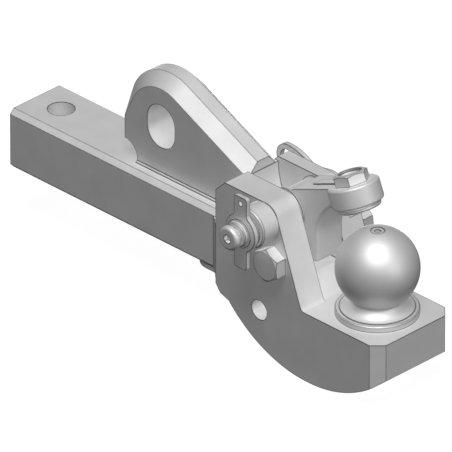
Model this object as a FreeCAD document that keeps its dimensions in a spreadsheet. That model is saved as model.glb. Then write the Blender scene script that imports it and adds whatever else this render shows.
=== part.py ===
import FreeCAD, Part
import os
import re
import math
import Sketcher

# Tow ball hitch: a square drawbar with a forged head, an 80 mm ball, a hold-down arm that swings
# over the ball, and a lug plate on the bar. Millimetres. The origin is the middle of the upright pin
# hole in the bar. X runs along the bar towards the ball, Z is up, and the keeper plate is at -Y.

SIZES = {
    # Drawbar and what is welded to it
    "overall_length": 500,
    "bar_width": 70,
    "bar_height": 64,
    "bar_chamfer": 5,
    "pin_hole_diameter": 26,
    "pin_hole_from_end": 33,
    "heel_plate_length": 54,
    "heel_plate_thickness": 5.5,
    "heel_plate_corner": 22,
    "side_weld_reach": 18.4,
    "lug_thickness": 40,
    "lug_bevel": 12.5,
    "lug_rear_from_hole": 104.8,
    "lug_foot_from_hole": 121,
    "lug_shoulder_height": 19.8,
    "lug_notch_radius": 16.5,
    "lug_eye_from_hole": 153,
    "lug_eye_above_bar": 50.6,
    "lug_eye_diameter": 36,
    "lug_eye_straight": 9,
    "lug_crown_radius": 52.5,
    "lug_rear_slope": 63,
    "lug_front_slope": 25.5,
    "lug_weld_leg": 2.5,
    # Head
    "head_length": 212.2,
    "head_width": 100,
    "base_below_bar": 48.2,
    "front_height": 38.5,
    "front_chamfer": 11,
    "belly_radius": 140,
    "belly_start": 17.2,
    "heel_height": 11.9,
    "heel_shelf": 6.2,
    "heel_drop": 8.2,
    "head_rear_step": 0.3,
    "cheek_rise": 97,
    "cheek_gap": 40,
    "cheek_slope": 70,
    "cheek_nose_radius": 15,
    "cheek_rear_chamfer": 12.2,
    "foot_radius": 5,
    "ramp_crest_radius": 6,
    "slot_floor_above_base": 19,
    "web_thickness": 12.7,
    "web_below_cheek": 4.7,
    "recess_depth": 15,
    "recess_radius": 73,
    "recess_floor_below_pin": 19.7,
    "recess_edge_turn": 9.5,
    "recess_corner_ahead": 2,
    "cross_hole_diameter": 20,
    "cross_hole_behind_ball": 104.8,
    "cross_hole_below_base": 21.1,
    # Ball
    "ball_diameter": 80,
    "ball_from_front": 50,
    "ball_above_base": 47.3,
    "ball_neck_diameter": 50,
    "ball_neck_height": 14.5,
    "ball_flange_diameter": 80,
    "ball_flange_height": 6,
    "flange_lip_width": 4.5,
    "ball_top_flat": 13,
    "ball_centre_drill": 6,
    "shank_diameter": 40,
    "shank_length": 54,
    "shank_recess_diameter": 52,
    "shank_recess_depth": 50,
    # Cross pin, its bushes, boss and keeper
    "pin_behind_ball": 98.8,
    "pin_above_ball": 29.6,
    "cross_pin_diameter": 25,
    "running_clearance": 0.04,
    "bush_wall": 2.5,
    "washer_thickness": 2,
    "washer_diameter": 45,
    "boss_diameter": 40,
    "boss_length": 20,
    "boss_chamfer": 1.5,
    "keeper_gap": 6,
    "keeper_thickness": 5,
    "keeper_width": 16,
    "keeper_height": 76,
    "keeper_disc_diameter": 38,
    "keeper_bore_clearance": 0.5,
    "keeper_tab_hole": 5,
    "keeper_tab_hole_inset": 7,
    "keeper_tab_round": 2.5,
    "ring_clearance": 0.2,
    "ring_thickness": 1.8,
    "ring_wall": 2.2,
    "ring_groove_depth": 1,
    "pin_end_beyond_ring": 4.2,
    "disc_spring_diameter": 34,
    "disc_spring_thickness": 1.3,
    "disc_spring_rim_gap": 0.2,
    "screw_waist_diameter": 16,
    "screw_waist_length": 4,
    "screw_head_diameter": 24,
    "screw_head_height": 7,
    "screw_socket_flats": 8,
    "screw_thread_diameter": 12,
    "screw_thread_length": 20,
    "key_width": 8,
    "key_height": 7,
    "key_length": 28,
    "key_seat_depth": 4,
    # Lever on the far end of the pin
    "lever_thickness": 5,
    "lever_side_clearance": 1,
    "lever_reach": 56.2,
    "lever_rise": 10.7,
    "lever_hub_radius": 17.5,
    "lever_eye_radius": 14,
    "lever_eye_hole": 17,
    "lever_waist": 9,
    "spigot_diameter": 18,
    "spigot_flat": 7,
    "lever_washer_diameter": 28,
    "lever_washer_thickness": 2,
    "lever_screw_diameter": 10,
    "lever_screw_flats": 17,
    "lever_screw_head": 5.5,
    "lever_screw_length": 25,
    # Stop bolt through the cheeks
    "stop_behind_ball": 85.2,
    "stop_below_ball": 8.1,
    "stop_bolt_diameter": 20,
    "stop_bolt_flats": 30,
    "stop_head_height": 13,
    "stop_nut_height": 14,
    "stop_washer_diameter": 34,
    "stop_washer_thickness": 2.5,
    "stop_bolt_overhang": 2.5,
    "sleeve_diameter": 28,
    "sleeve_end_clearance": 0.1,
    # Hold-down arm
    "hub_diameter": 50,
    "arm_side_clearance": 0.15,
    "arm_stop_clearance": 0.3,
    "toe_depth": 44,
    "toe_wall": 9.4,
    "toe_round": 4,
    "toe_face_height": 24,
    "throat_radius": 48.5,
    "pad_tilt": 22.8,
    "arm_ring_diameter": 50,
    "arm_ring_start": 61.5,
    "arm_ring_height": 21,
    "arm_ring_chamfer": 2.2,
    "arm_ring_inset": 17,
    "arm_rib_width": 12,
    "arm_rib_height": 5,
    "arm_rib_end": 21,
    # Pressure pad, its stud and lock nut
    "pad_diameter": 44,
    "pad_thickness": 7,
    "pad_top_gap": 0.6,
    "pad_dish_diameter": 34,
    "pad_dish_depth": 1.6,
    "pad_edge_round": 1.2,
    "stud_diameter": 20,
    "stud_clearance": 0.05,
    "stud_neck_diameter": 14,
    "stud_neck_length": 3,
    "lock_nut_turn": 15,
    "lock_nut_flats": 30,
    "lock_nut_height": 12,
    "lock_nut_recess_diameter": 22,
    "lock_nut_recess_depth": 1.5,
    "stud_below_nut_top": 3.5,
    "stud_socket_flats": 8,
    "stud_socket_depth": 8,
}

document = FreeCAD.newDocument("TowBallHitch")
sheet = document.addObject("Spreadsheet::Sheet", "Sizes")
for row, (size_name, size) in enumerate(SIZES.items(), start=1):
    sheet.set(f"A{row}", size_name.replace("_", " "))
    sheet.set(f"B{row}", str(size))
    sheet.setAlias(f"B{row}", size_name)
document.recompute()


# Places that several pieces share, as formulas of the sizes
FRONT_X = "(overall_length - pin_hole_from_end)"
HEAD_REAR_X = f"({FRONT_X} - head_length)"
BAR_TOP_Z = "(bar_height / 2)"
BASE_Z = f"({BAR_TOP_Z} - base_below_bar)"
CHEEK_TOP_Z = f"({BASE_Z} + cheek_rise)"
BALL_X = f"({FRONT_X} - ball_from_front)"
BALL_Z = f"({BASE_Z} + ball_above_base)"
PIN_X = f"({BALL_X} - pin_behind_ball)"
PIN_Z = f"({BALL_Z} + pin_above_ball)"
STOP_X = f"({BALL_X} - stop_behind_ball)"
STOP_Z = f"({BALL_Z} - stop_below_ball)"
CHEEK_FOOT_X = f"({BALL_X} - ball_from_front)"
CHEEK_TOP_CORNER_X = f"({CHEEK_FOOT_X} - cheek_rise / tan(cheek_slope * 1deg))"
WEB_FRONT_X = f"({HEAD_REAR_X} + web_thickness)"
WEB_TOP_Z = f"({CHEEK_TOP_Z} - web_below_cheek)"
SLOT_FLOOR_Z = f"({BASE_Z} + slot_floor_above_base)"
SLOT_RADIUS = f"(web_below_cheek * -1 + cheek_rise - slot_floor_above_base)"
RECESS_FACE_Y = "(head_width / 2 - recess_depth)"
KEEPER_OUTER = "(head_width / 2 + boss_length + keeper_gap + keeper_thickness)"
PIN_NEAR_END = f"({KEEPER_OUTER} + ring_clearance + ring_thickness + pin_end_beyond_ring)"
LEVER_NEAR_Y = f"({RECESS_FACE_Y} + lever_side_clearance)"
LEVER_FAR_Y = f"({LEVER_NEAR_Y} + lever_thickness)"
STOP_NUT_Y = "(head_width / 2 + stop_washer_thickness)"
STOP_BOLT_END_Y = f"({STOP_NUT_Y} + stop_nut_height + stop_bolt_overhang)"
ARM_HALF_WIDTH = "(cheek_gap / 2 - washer_thickness - arm_side_clearance)"
ARM_RING_TOP = "(arm_ring_start + arm_ring_height)"
PAD_TOP = "(arm_ring_start - pad_top_gap)"

ALONG_Y = FreeCAD.Rotation(FreeCAD.Vector(1, 0, 0), -90)
UPRIGHT = FreeCAD.Rotation()
FAR_AWAY = "(overall_length * 2)"


def formula(text):
    """A formula whose size names point at the sheet."""
    return re.sub(r"[a-z]+(?:_[a-z]+)+", lambda word: "Sizes." + word.group(), text)


def number(text):
    value = sheet.evalExpression(formula(text))
    return float(getattr(value, "Value", value))


def new_body(name, x="0", y="0", z="0", turn=UPRIGHT):
    """An empty body whose own origin stands at x, y, z."""
    body = document.addObject("PartDesign::Body", name)
    body.Label = name
    body.AllowCompound = True
    body.Placement = FreeCAD.Placement(FreeCAD.Vector(), turn)
    for axis, text in (("x", x), ("y", y), ("z", z)):
        body.setExpression("Placement.Base." + axis, formula(text))
    return body


def new_tilted_body(name):
    """A body whose Z runs from the ball's centre up through the ring of the arm."""
    body = new_body(name, BALL_X, "0", BALL_Z, FreeCAD.Rotation(FreeCAD.Vector(0, -1, 0), 1))
    body.setExpression("Placement.Rotation.Angle", formula("pad_tilt * 1deg"))
    return body


def new_sketch(body, plane, shift_x="0", shift_y="0", out="0", turn="0"):
    sketch = body.newObject("Sketcher::SketchObject", body.Name + "_sketch")
    planes = [item for item in body.Origin.OriginFeatures if item.Role == plane]
    sketch.AttachmentSupport = [(planes[0], "")]
    sketch.MapMode = "FlatFace"
    for axis, text in (("x", shift_x), ("y", shift_y), ("z", out)):
        sketch.setExpression("AttachmentOffset.Base." + axis, formula(text))
    sketch.setExpression("AttachmentOffset.Rotation.Angle", formula(f"({turn}) * 1deg"))
    return sketch


def bind(sketch, kind, *where, text):
    """A sketch dimension that follows a formula."""
    index = sketch.addConstraint(Sketcher.Constraint(kind, *where, number(text)))
    sketch.setExpression(f"Constraints[{index}]", formula(text))


def fix_point(sketch, line, end, x, y):
    bind(sketch, "DistanceX", line, end, text=x)
    bind(sketch, "DistanceY", line, end, text=y)


def draw_circle(sketch, x, y, diameter):
    centre = FreeCAD.Vector(number(x), number(y), 0)
    circle = sketch.addGeometry(Part.Circle(centre, FreeCAD.Vector(0, 0, 1), number(diameter) / 2))
    fix_point(sketch, circle, 3, x, y)
    bind(sketch, "Diameter", circle, text=diameter)


def corner(x, y, rounded=None, arc=None, bulge="left"):
    """A corner of an outline. It may be rounded, or start an arc to the next corner, which bulges
    to the left or to the right of the way."""
    return {"x": x, "y": y, "rounded": rounded, "arc": arc, "bulge": bulge}


def arc_between(start, end, radius, bulge):
    """The arc from start to end, and whether it is drawn backwards, since arcs run anticlockwise."""
    chord = end - start
    half = chord.Length / 2
    side = FreeCAD.Vector(-chord.y, chord.x, 0).normalize()
    depth = math.sqrt(max(radius * radius - half * half, 0))
    centre = (start + end) / 2 + side * (depth if bulge == "right" else -depth)
    first, last = (start, end) if bulge == "right" else (end, start)
    angles = [math.atan2(point.y - centre.y, point.x - centre.x) for point in (first, last)]
    circle = Part.Circle(centre, FreeCAD.Vector(0, 0, 1), radius)
    return Part.ArcOfCircle(circle, *angles), bulge != "right"


def draw_outline(sketch, corners):
    """A closed outline through the corners, each bound to its formulas."""
    count = len(corners)
    points = [FreeCAD.Vector(number(item["x"]), number(item["y"]), 0) for item in corners]
    leaves, arrives = list(points), list(points)
    for index, item in enumerate(corners):
        if item["rounded"]:
            back = (points[index - 1] - points[index]).normalize()
            ahead = (points[(index + 1) % count] - points[index]).normalize()
            cut = number(item["rounded"]) / math.tan(back.getAngle(ahead) / 2)
            arrives[index] = points[index] + back * cut
            leaves[index] = points[index] + ahead * cut
    # Each stretch is kept as its geometry, its first end and its last end
    stretches = []
    for index, item in enumerate(corners):
        start, end = leaves[index], arrives[(index + 1) % count]
        if item["arc"]:
            shape, backwards = arc_between(start, end, number(item["arc"]), item["bulge"])
        else:
            shape, backwards = Part.LineSegment(start, end), False
        place = sketch.addGeometry(shape)
        stretches.append((place, 2, 1) if backwards else (place, 1, 2))
    for index, item in enumerate(corners):
        before, _, before_end = stretches[index - 1]
        after, after_start, _ = stretches[index]
        if item["arc"]:
            bind(sketch, "Radius", after, text=item["arc"])
        if not item["rounded"]:
            sketch.addConstraint(Sketcher.Constraint("Coincident", before, before_end, after, after_start))
            fix_point(sketch, after, after_start, item["x"], item["y"])
            continue
        turn = (points[index] - points[index - 1]).cross(points[(index + 1) % count] - points[index]).z
        bulge = "right" if turn > 0 else "left"
        shape, backwards = arc_between(arrives[index], leaves[index], number(item["rounded"]), bulge)
        bend = sketch.addGeometry(shape)
        first, last = (2, 1) if backwards else (1, 2)
        sketch.addConstraint(Sketcher.Constraint("Tangent", before, before_end, bend, first))
        sketch.addConstraint(Sketcher.Constraint("Tangent", bend, last, after, after_start))
        bind(sketch, "Radius", bend, text=item["rounded"])
        vertex = sketch.addGeometry(Part.Point(points[index]), True)
        sketch.addConstraint(Sketcher.Constraint("PointOnObject", vertex, 1, before))
        sketch.addConstraint(Sketcher.Constraint("PointOnObject", vertex, 1, after))
        fix_point(sketch, vertex, 1, item["x"], item["y"])


def hexagon(sketch, flats, first_corner=30):
    angles = [first_corner + 60 * index for index in range(6)]
    corners = []
    for angle in angles:
        corners.append(corner(f"{flats} / sqrt(3) * cos({angle}deg)", f"{flats} / sqrt(3) * sin({angle}deg)"))
    draw_outline(sketch, corners)


def pad(body, sketch, length, symmetric=False, backwards=False):
    feature = body.newObject("PartDesign::Pad", body.Name + "_pad")
    feature.Profile = sketch
    feature.setExpression("Length", formula(length))
    feature.SideType = "Symmetric" if symmetric else "One side"
    feature.Reversed = backwards
    document.recompute()
    return feature


def cut_through(body, sketch, length=None, symmetric=True, backwards=False):
    """A pocket, checked by the volume that it takes."""
    before = body.Tip.Shape.Volume
    feature = body.newObject("PartDesign::Pocket", body.Name + "_pocket")
    feature.Profile = sketch
    feature.setExpression("Length", formula(length or FAR_AWAY))
    feature.SideType = "Symmetric" if symmetric else "One side"
    feature.Reversed = backwards
    document.recompute()
    if feature.Shape.Volume >= before:
        raise RuntimeError(f"a pocket in {body.Name} cuts nothing")
    return feature


def revolve(body, sketch, cut=False):
    kind = "PartDesign::Groove" if cut else "PartDesign::Revolution"
    before = body.Tip.Shape.Volume if cut else 0
    feature = body.newObject(kind, body.Name + "_turned")
    feature.Profile = sketch
    feature.ReferenceAxis = (sketch, ["V_Axis"])
    feature.Angle = 360
    document.recompute()
    if cut and feature.Shape.Volume >= before:
        raise RuntimeError(f"a groove in {body.Name} cuts nothing")
    return feature


def turned(body, corners, cut=False):
    """A turned form: the outline gives radius and height about the body's Z axis."""
    sketch = new_sketch(body, "XZ_Plane")
    draw_outline(sketch, corners)
    return revolve(body, sketch, cut)


def tube(body, inner, outer, low, high, chamfer=None):
    """A turned ring between two diameters and two heights, with its outer edges chamfered if asked."""
    corners = [corner(f"{inner} / 2", low)]
    if chamfer:
        corners.append(corner(f"{outer} / 2 - {chamfer}", low))
        corners.append(corner(f"{outer} / 2", f"{low} + {chamfer}"))
        corners.append(corner(f"{outer} / 2", f"{high} - {chamfer}"))
        corners.append(corner(f"{outer} / 2 - {chamfer}", high))
    else:
        corners.append(corner(f"{outer} / 2", low))
        corners.append(corner(f"{outer} / 2", high))
    corners.append(corner(f"{inner} / 2", high))
    return turned(body, corners)


def dress_edges(body, kind, size, wanted):
    """A fillet or chamfer on every edge of the body that the test wants."""
    base = body.Tip
    names = [f"Edge{index}" for index, edge in enumerate(base.Shape.Edges, start=1) if wanted(edge)]
    feature = body.newObject("PartDesign::" + kind, body.Name + "_" + kind.lower())
    feature.Base = (base, names)
    feature.setExpression("Radius" if kind == "Fillet" else "Size", formula(size))
    document.recompute()
    return feature


def is_at(value, text):
    return abs(value - number(text)) < 0.01


def hexagon_head(body, flats, low, high, chamfered_side, first_corner=30):
    """A hexagon from low to high about Z, whose corners are turned down on the chamfered side."""
    sketch = new_sketch(body, "XY_Plane", out=low)
    hexagon(sketch, flats, first_corner)
    pad(body, sketch, f"{high} - {low}")
    face, inward = (high, "-") if chamfered_side == "top" else (low, "+")
    turned(body, [
        corner(f"{flats} * 0.475", face),
        corner(f"{flats}", face),
        corner(f"{flats}", f"{face} {inward} {flats} * 0.525 * tan(30deg)"),
    ], cut=True)


# Drawbar: a solid bar with chamfered edges and an upright hole for the drawbar pin
drawbar = new_body("drawbar")
bar_section = new_sketch(drawbar, "YZ_Plane", out="pin_hole_from_end * -1")
bar_side, bar_flat = "bar_width / 2", "bar_height / 2"
draw_outline(bar_section, [
    corner(f"-{bar_side} + bar_chamfer", f"-{bar_flat}"),
    corner(f"{bar_side} - bar_chamfer", f"-{bar_flat}"),
    corner(bar_side, f"-{bar_flat} + bar_chamfer"),
    corner(bar_side, f"{bar_flat} - bar_chamfer"),
    corner(f"{bar_side} - bar_chamfer", bar_flat),
    corner(f"-{bar_side} + bar_chamfer", bar_flat),
    corner(f"-{bar_side}", f"{bar_flat} - bar_chamfer"),
    corner(f"-{bar_side}", f"-{bar_flat} + bar_chamfer"),
])
pad(drawbar, bar_section, f"{HEAD_REAR_X} + pin_hole_from_end")
pin_hole = new_sketch(drawbar, "XY_Plane")
draw_circle(pin_hole, "0", "0", "pin_hole_diameter")
cut_through(drawbar, pin_hole)

# Heel plate: a flat plate under the bar, against the head, with a rounded rear end
heel_plate = new_body("heel_plate", HEAD_REAR_X, "0", "bar_height / -2")
heel_outline = new_sketch(heel_plate, "XY_Plane")
heel_side = "bar_width / 2 - bar_chamfer"
draw_outline(heel_outline, [
    corner("0", f"-({heel_side})"),
    corner("0", heel_side),
    corner("-heel_plate_length", heel_side, rounded="heel_plate_corner"),
    corner("-heel_plate_length", f"-({heel_side})", rounded="heel_plate_corner"),
])
pad(heel_plate, heel_outline, "heel_plate_thickness", backwards=True)

# Side welds: heavy beads that fill the corner between the bar's sides and the wider head
side_welds = new_body("side_welds", HEAD_REAR_X)
side_bead = new_sketch(side_welds, "XY_Plane")
for side in ("", "-"):
    draw_outline(side_bead, [
        corner("0", f"{side}bar_width / 2"),
        corner("0", f"{side}head_width / 2"),
        corner("-side_weld_reach", f"{side}bar_width / 2"),
    ])
pad(side_welds, side_bead, "bar_height - 2 * bar_chamfer", symmetric=True)

# Lug plate: a thick upright plate with an oblong eye, whose nose rests on the web of the head
lug_plate = new_body("lug_plate")
lug_side = new_sketch(lug_plate, "XZ_Plane")
EYE_X, EYE_Z = "lug_eye_from_hole", f"({BAR_TOP_Z} + lug_eye_above_bar)"
rear_turn, front_turn = "(lug_rear_slope * 1deg)", "(lug_front_slope * 1deg)"
rear_touch_x = f"({EYE_X} - lug_crown_radius * sin({rear_turn}))"
rear_touch_z = f"({EYE_Z} + lug_crown_radius * cos({rear_turn}))"
front_touch_x = f"({EYE_X} + lug_crown_radius * sin({front_turn}))"
front_touch_z = f"({EYE_Z} + lug_crown_radius * cos({front_turn}))"
rear_edge_top = f"{rear_touch_z} - ({rear_touch_x} - lug_rear_from_hole) * tan({rear_turn})"
nose_top = f"{front_touch_z} - ({WEB_FRONT_X} - {front_touch_x}) * tan({front_turn})"
web_shelf_x = f"{HEAD_REAR_X} + cheek_rear_chamfer - web_below_cheek"
draw_outline(lug_side, [
    corner("lug_foot_from_hole", BAR_TOP_Z),
    corner(HEAD_REAR_X, BAR_TOP_Z),
    corner(HEAD_REAR_X, f"{CHEEK_TOP_Z} - cheek_rear_chamfer"),
    corner(web_shelf_x, WEB_TOP_Z),
    corner(WEB_FRONT_X, WEB_TOP_Z),
    corner(WEB_FRONT_X, nose_top),
    corner(front_touch_x, front_touch_z, arc="lug_crown_radius", bulge="right"),
    corner(rear_touch_x, rear_touch_z),
    corner("lug_rear_from_hole", rear_edge_top),
    corner("lug_rear_from_hole", f"{BAR_TOP_Z} + lug_shoulder_height", arc="lug_notch_radius", bulge="left"),
])
pad(lug_plate, lug_side, "lug_thickness", symmetric=True)


def is_lug_rim(edge):
    """The two rims of the rear slope, the crown and the front slope."""
    centre = edge.CenterOfMass
    on_face = is_at(abs(centre.y), "lug_thickness / 2")
    ends_level = [vertex.Point.z for vertex in edge.Vertexes]
    above = min(ends_level) > number(WEB_TOP_Z) + 0.1
    slanted = abs(edge.tangentAt(edge.FirstParameter).x) > 0.1
    return on_face and above and slanted


dress_edges(lug_plate, "Chamfer", "lug_bevel", is_lug_rim)
lug_eye = new_sketch(lug_plate, "XZ_Plane")
eye_side = "lug_eye_diameter / 2"
draw_outline(lug_eye, [
    corner(f"{EYE_X} + {eye_side}", f"{EYE_Z} - lug_eye_straight / 2"),
    corner(f"{EYE_X} + {eye_side}", f"{EYE_Z} + lug_eye_straight / 2", arc=eye_side, bulge="right"),
    corner(EYE_X, f"{EYE_Z} + lug_eye_straight / 2 + {eye_side}", arc=eye_side, bulge="right"),
    corner(f"{EYE_X} - {eye_side}", f"{EYE_Z} + lug_eye_straight / 2"),
    corner(f"{EYE_X} - {eye_side}", f"{EYE_Z} - lug_eye_straight / 2", arc=eye_side, bulge="right"),
    corner(EYE_X, f"{EYE_Z} - lug_eye_straight / 2 - {eye_side}", arc=eye_side, bulge="right"),
])
cut_through(lug_plate, lug_eye)

# Lug welds: one fillet weld along each side of the lug plate's foot
lug_welds = new_body("lug_welds", "lug_foot_from_hole", "0", BAR_TOP_Z)
lug_bead = new_sketch(lug_welds, "YZ_Plane")
for side in ("", "-"):
    draw_outline(lug_bead, [
        corner(f"{side}lug_thickness / 2", "0"),
        corner(f"{side}(lug_thickness / 2 + lug_weld_leg)", "0"),
        corner(f"{side}lug_thickness / 2", "lug_weld_leg"),
    ])
pad(lug_welds, lug_bead, f"{HEAD_REAR_X} - lug_foot_from_hole")

# Head: one forging with a base for the ball, a round belly and two cheeks with a slot between them
hitch_head = new_body("hitch_head")
head_side = new_sketch(hitch_head, "XZ_Plane")
REAR_LOW_Z = "(bar_height / -2 + head_rear_step)"
HEEL_Z = f"({REAR_LOW_Z} - heel_drop)"
draw_outline(head_side, [
    corner(FRONT_X, BASE_Z),
    corner(CHEEK_FOOT_X, BASE_Z, rounded="foot_radius"),
    corner(CHEEK_TOP_CORNER_X, CHEEK_TOP_Z, rounded="cheek_nose_radius"),
    corner(f"{HEAD_REAR_X} + cheek_rear_chamfer", CHEEK_TOP_Z),
    corner(HEAD_REAR_X, f"{CHEEK_TOP_Z} - cheek_rear_chamfer"),
    corner(HEAD_REAR_X, REAR_LOW_Z),
    corner(f"{HEAD_REAR_X} + heel_shelf", HEEL_Z),
    corner(f"{HEAD_REAR_X} + belly_start", f"{REAR_LOW_Z} - heel_height", arc="belly_radius", bulge="right"),
    corner(FRONT_X, f"{BASE_Z} - front_height"),
])
pad(hitch_head, head_side, "head_width", symmetric=True)

slot = new_sketch(hitch_head, "XZ_Plane")
CLEAR_TOP_Z = f"({CHEEK_TOP_Z} + 10)"
SLOT_CENTRE_X = f"({WEB_FRONT_X} + {SLOT_RADIUS})"
slot_mouth_x = f"{CHEEK_FOOT_X} + foot_radius * 2"
draw_outline(slot, [
    corner(slot_mouth_x, BASE_Z),
    corner(slot_mouth_x, CLEAR_TOP_Z),
    corner(f"{HEAD_REAR_X} - 1", CLEAR_TOP_Z),
    corner(f"{HEAD_REAR_X} - 1", WEB_TOP_Z),
    corner(WEB_FRONT_X, WEB_TOP_Z, arc=SLOT_RADIUS, bulge="right"),
    corner(SLOT_CENTRE_X, SLOT_FLOOR_Z),
    corner(f"{CHEEK_FOOT_X} - slot_floor_above_base", SLOT_FLOOR_Z, rounded="ramp_crest_radius"),
    corner(CHEEK_FOOT_X, BASE_Z, rounded="foot_radius"),
])
cut_through(hitch_head, slot, "cheek_gap")

# The far cheek is thinner where the lever swings, down to the full seat of the stop bolt's nut
recess = new_sketch(hitch_head, "XZ_Plane", out=f"-{RECESS_FACE_Y}")
recess_edge_x = f"({PIN_X} - recess_radius * sin(recess_edge_turn * 1deg))"
recess_edge_z = f"({PIN_Z} - recess_radius * cos(recess_edge_turn * 1deg))"
recess_floor_z = f"({PIN_Z} - recess_floor_below_pin)"
draw_outline(recess, [
    corner(FRONT_X, recess_floor_z),
    corner(FRONT_X, CLEAR_TOP_Z),
    corner(f"{PIN_X} - recess_radius", CLEAR_TOP_Z),
    corner(f"{PIN_X} - recess_radius", PIN_Z, arc="recess_radius", bulge="right"),
    corner(recess_edge_x, recess_edge_z),
    corner(f"{PIN_X} + recess_corner_ahead", recess_floor_z),
])
cut_through(hitch_head, recess, "recess_depth + 1", symmetric=False)

head_bores = new_sketch(hitch_head, "XZ_Plane")
draw_circle(head_bores, PIN_X, PIN_Z, "cross_pin_diameter + 2 * bush_wall + 2 * running_clearance")
draw_circle(head_bores, STOP_X, STOP_Z, "stop_bolt_diameter")
draw_circle(head_bores, f"{BALL_X} - cross_hole_behind_ball", f"{BASE_Z} - cross_hole_below_base",
            "cross_hole_diameter")
cut_through(hitch_head, head_bores)
dress_edges(hitch_head, "Chamfer", "front_chamfer", lambda edge: is_at(edge.CenterOfMass.x, FRONT_X)
            and is_at(abs(edge.CenterOfMass.y), "head_width / 2"))
shank_bore = new_sketch(hitch_head, "XY_Plane", BALL_X)
draw_circle(shank_bore, "0", "0", "shank_diameter")
cut_through(hitch_head, shank_bore)
shank_recess = new_sketch(hitch_head, "XY_Plane", BALL_X, "0", f"{BASE_Z} - shank_recess_depth")
draw_circle(shank_recess, "0", "0", "shank_recess_diameter")
cut_through(hitch_head, shank_recess, symmetric=False)

# Ball: turned with its flange and shank in one piece, with a centre drilling on top
ball_stud = new_body("ball_stud", BALL_X, "0", BASE_Z)
NECK_TOP = "(ball_above_base - sqrt(ball_diameter * ball_diameter - ball_neck_diameter * ball_neck_diameter) / 2)"
CROWN = "(ball_above_base + sqrt(ball_diameter * ball_diameter - ball_top_flat * ball_top_flat) / 2)"
lip_inner = "ball_flange_diameter / 2 - flange_lip_width"
turned(ball_stud, [
    corner("0", "-shank_length"),
    corner("shank_diameter / 2 - 2", "-shank_length"),
    corner("shank_diameter / 2", "2 - shank_length"),
    corner("shank_diameter / 2", "0"),
    corner("ball_flange_diameter / 2", "0"),
    corner("ball_flange_diameter / 2", "ball_flange_height - 1"),
    corner("ball_flange_diameter / 2 - 1", "ball_flange_height"),
    corner(lip_inner, "ball_flange_height + 0.6", arc="14", bulge="left"),
    corner("ball_neck_diameter / 2", "ball_neck_height"),
    corner("ball_neck_diameter / 2", NECK_TOP, arc="ball_diameter / 2", bulge="right"),
    corner("ball_diameter / 2", "ball_above_base", arc="ball_diameter / 2", bulge="right"),
    corner("ball_top_flat / 2", CROWN),
    corner("ball_centre_drill / 2", CROWN),
    corner("ball_centre_drill / 2 - 1.5", f"{CROWN} - 2.6"),
    corner("ball_centre_drill / 2 - 1.5", f"{CROWN} - 6"),
    corner("0", f"{CROWN} - 6.9"),
])
shank_weld = new_body("shank_weld", BALL_X, "0", f"{BASE_Z} - shank_recess_depth")
turned(shank_weld, [
    corner("shank_diameter / 2", "0"),
    corner("shank_diameter / 2", "shank_recess_depth - shank_length + 2"),
    corner("shank_recess_diameter / 2", "-0.5"),
    corner("shank_recess_diameter / 2", "0"),
])

# Cross pin axis: everything below is turned about it, with Z of each body along Y of the hitch
PIN_BORE = "(cross_pin_diameter + 2 * running_clearance)"
pin_boss = new_body("pin_boss", PIN_X, "head_width / -2 - boss_length", PIN_Z, ALONG_Y)
tube(pin_boss, PIN_BORE, "boss_diameter", "0", "boss_length")
dress_edges(pin_boss, "Chamfer", "boss_chamfer",
            lambda edge: is_at(edge.BoundBox.YMin, "head_width / -2 - boss_length") or edge.BoundBox.ZMax < 0.01
            and is_at(edge.BoundBox.XMax, "boss_diameter / 2"))
near_bush = new_body("near_bush", PIN_X, "head_width / -2", PIN_Z, ALONG_Y)
tube(near_bush, PIN_BORE, f"({PIN_BORE} + 2 * bush_wall)", "0", "(head_width - cheek_gap) / 2")
far_bush = new_body("far_bush", PIN_X, "cheek_gap / 2", PIN_Z, ALONG_Y)
tube(far_bush, PIN_BORE, f"({PIN_BORE} + 2 * bush_wall)", "0", "(head_width - cheek_gap) / 2 - recess_depth")
thrust_washers = new_body("thrust_washers", PIN_X, "0", PIN_Z, ALONG_Y)
washer_sketch = new_sketch(thrust_washers, "XZ_Plane")
for side in ("", "-"):
    inner_face, outer_face = f"{side}(cheek_gap / 2 - washer_thickness)", f"{side}cheek_gap / 2"
    draw_outline(washer_sketch, [
        corner(f"{PIN_BORE} / 2", inner_face),
        corner("washer_diameter / 2", inner_face),
        corner("washer_diameter / 2", outer_face),
        corner(f"{PIN_BORE} / 2", outer_face),
    ])
revolve(thrust_washers, washer_sketch)

# Cross pin: it turns with the arm, and carries the keeper at one end and the lever at the other
cross_pin = new_body("cross_pin", PIN_X, "0", PIN_Z, ALONG_Y)
groove_low = f"-({KEEPER_OUTER} + ring_clearance + ring_thickness)"
groove_high = f"-({KEEPER_OUTER} + ring_clearance)"
groove_radius = "cross_pin_diameter / 2 - ring_groove_depth"
turned(cross_pin, [
    corner("screw_thread_diameter / 2", f"-{PIN_NEAR_END}"),
    corner("cross_pin_diameter / 2 - 1", f"-{PIN_NEAR_END}"),
    corner("cross_pin_diameter / 2", f"1 - {PIN_NEAR_END}"),
    corner("cross_pin_diameter / 2", groove_low),
    corner(groove_radius, groove_low),
    corner(groove_radius, groove_high),
    corner("cross_pin_diameter / 2", groove_high),
    corner("cross_pin_diameter / 2", LEVER_NEAR_Y),
    corner("spigot_diameter / 2", LEVER_NEAR_Y),
    corner("spigot_diameter / 2", LEVER_FAR_Y),
    corner("lever_screw_diameter / 2", LEVER_FAR_Y),
    corner("lever_screw_diameter / 2", f"{LEVER_FAR_Y} + lever_washer_thickness - lever_screw_length"),
    corner("0", f"{LEVER_FAR_Y} + lever_washer_thickness - lever_screw_length"),
    corner("0", f"screw_thread_length - {PIN_NEAR_END}"),
    corner("screw_thread_diameter / 2", f"screw_thread_length - {PIN_NEAR_END}"),
])
spigot_side = new_sketch(cross_pin, "XY_Plane", out=LEVER_NEAR_Y)
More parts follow.
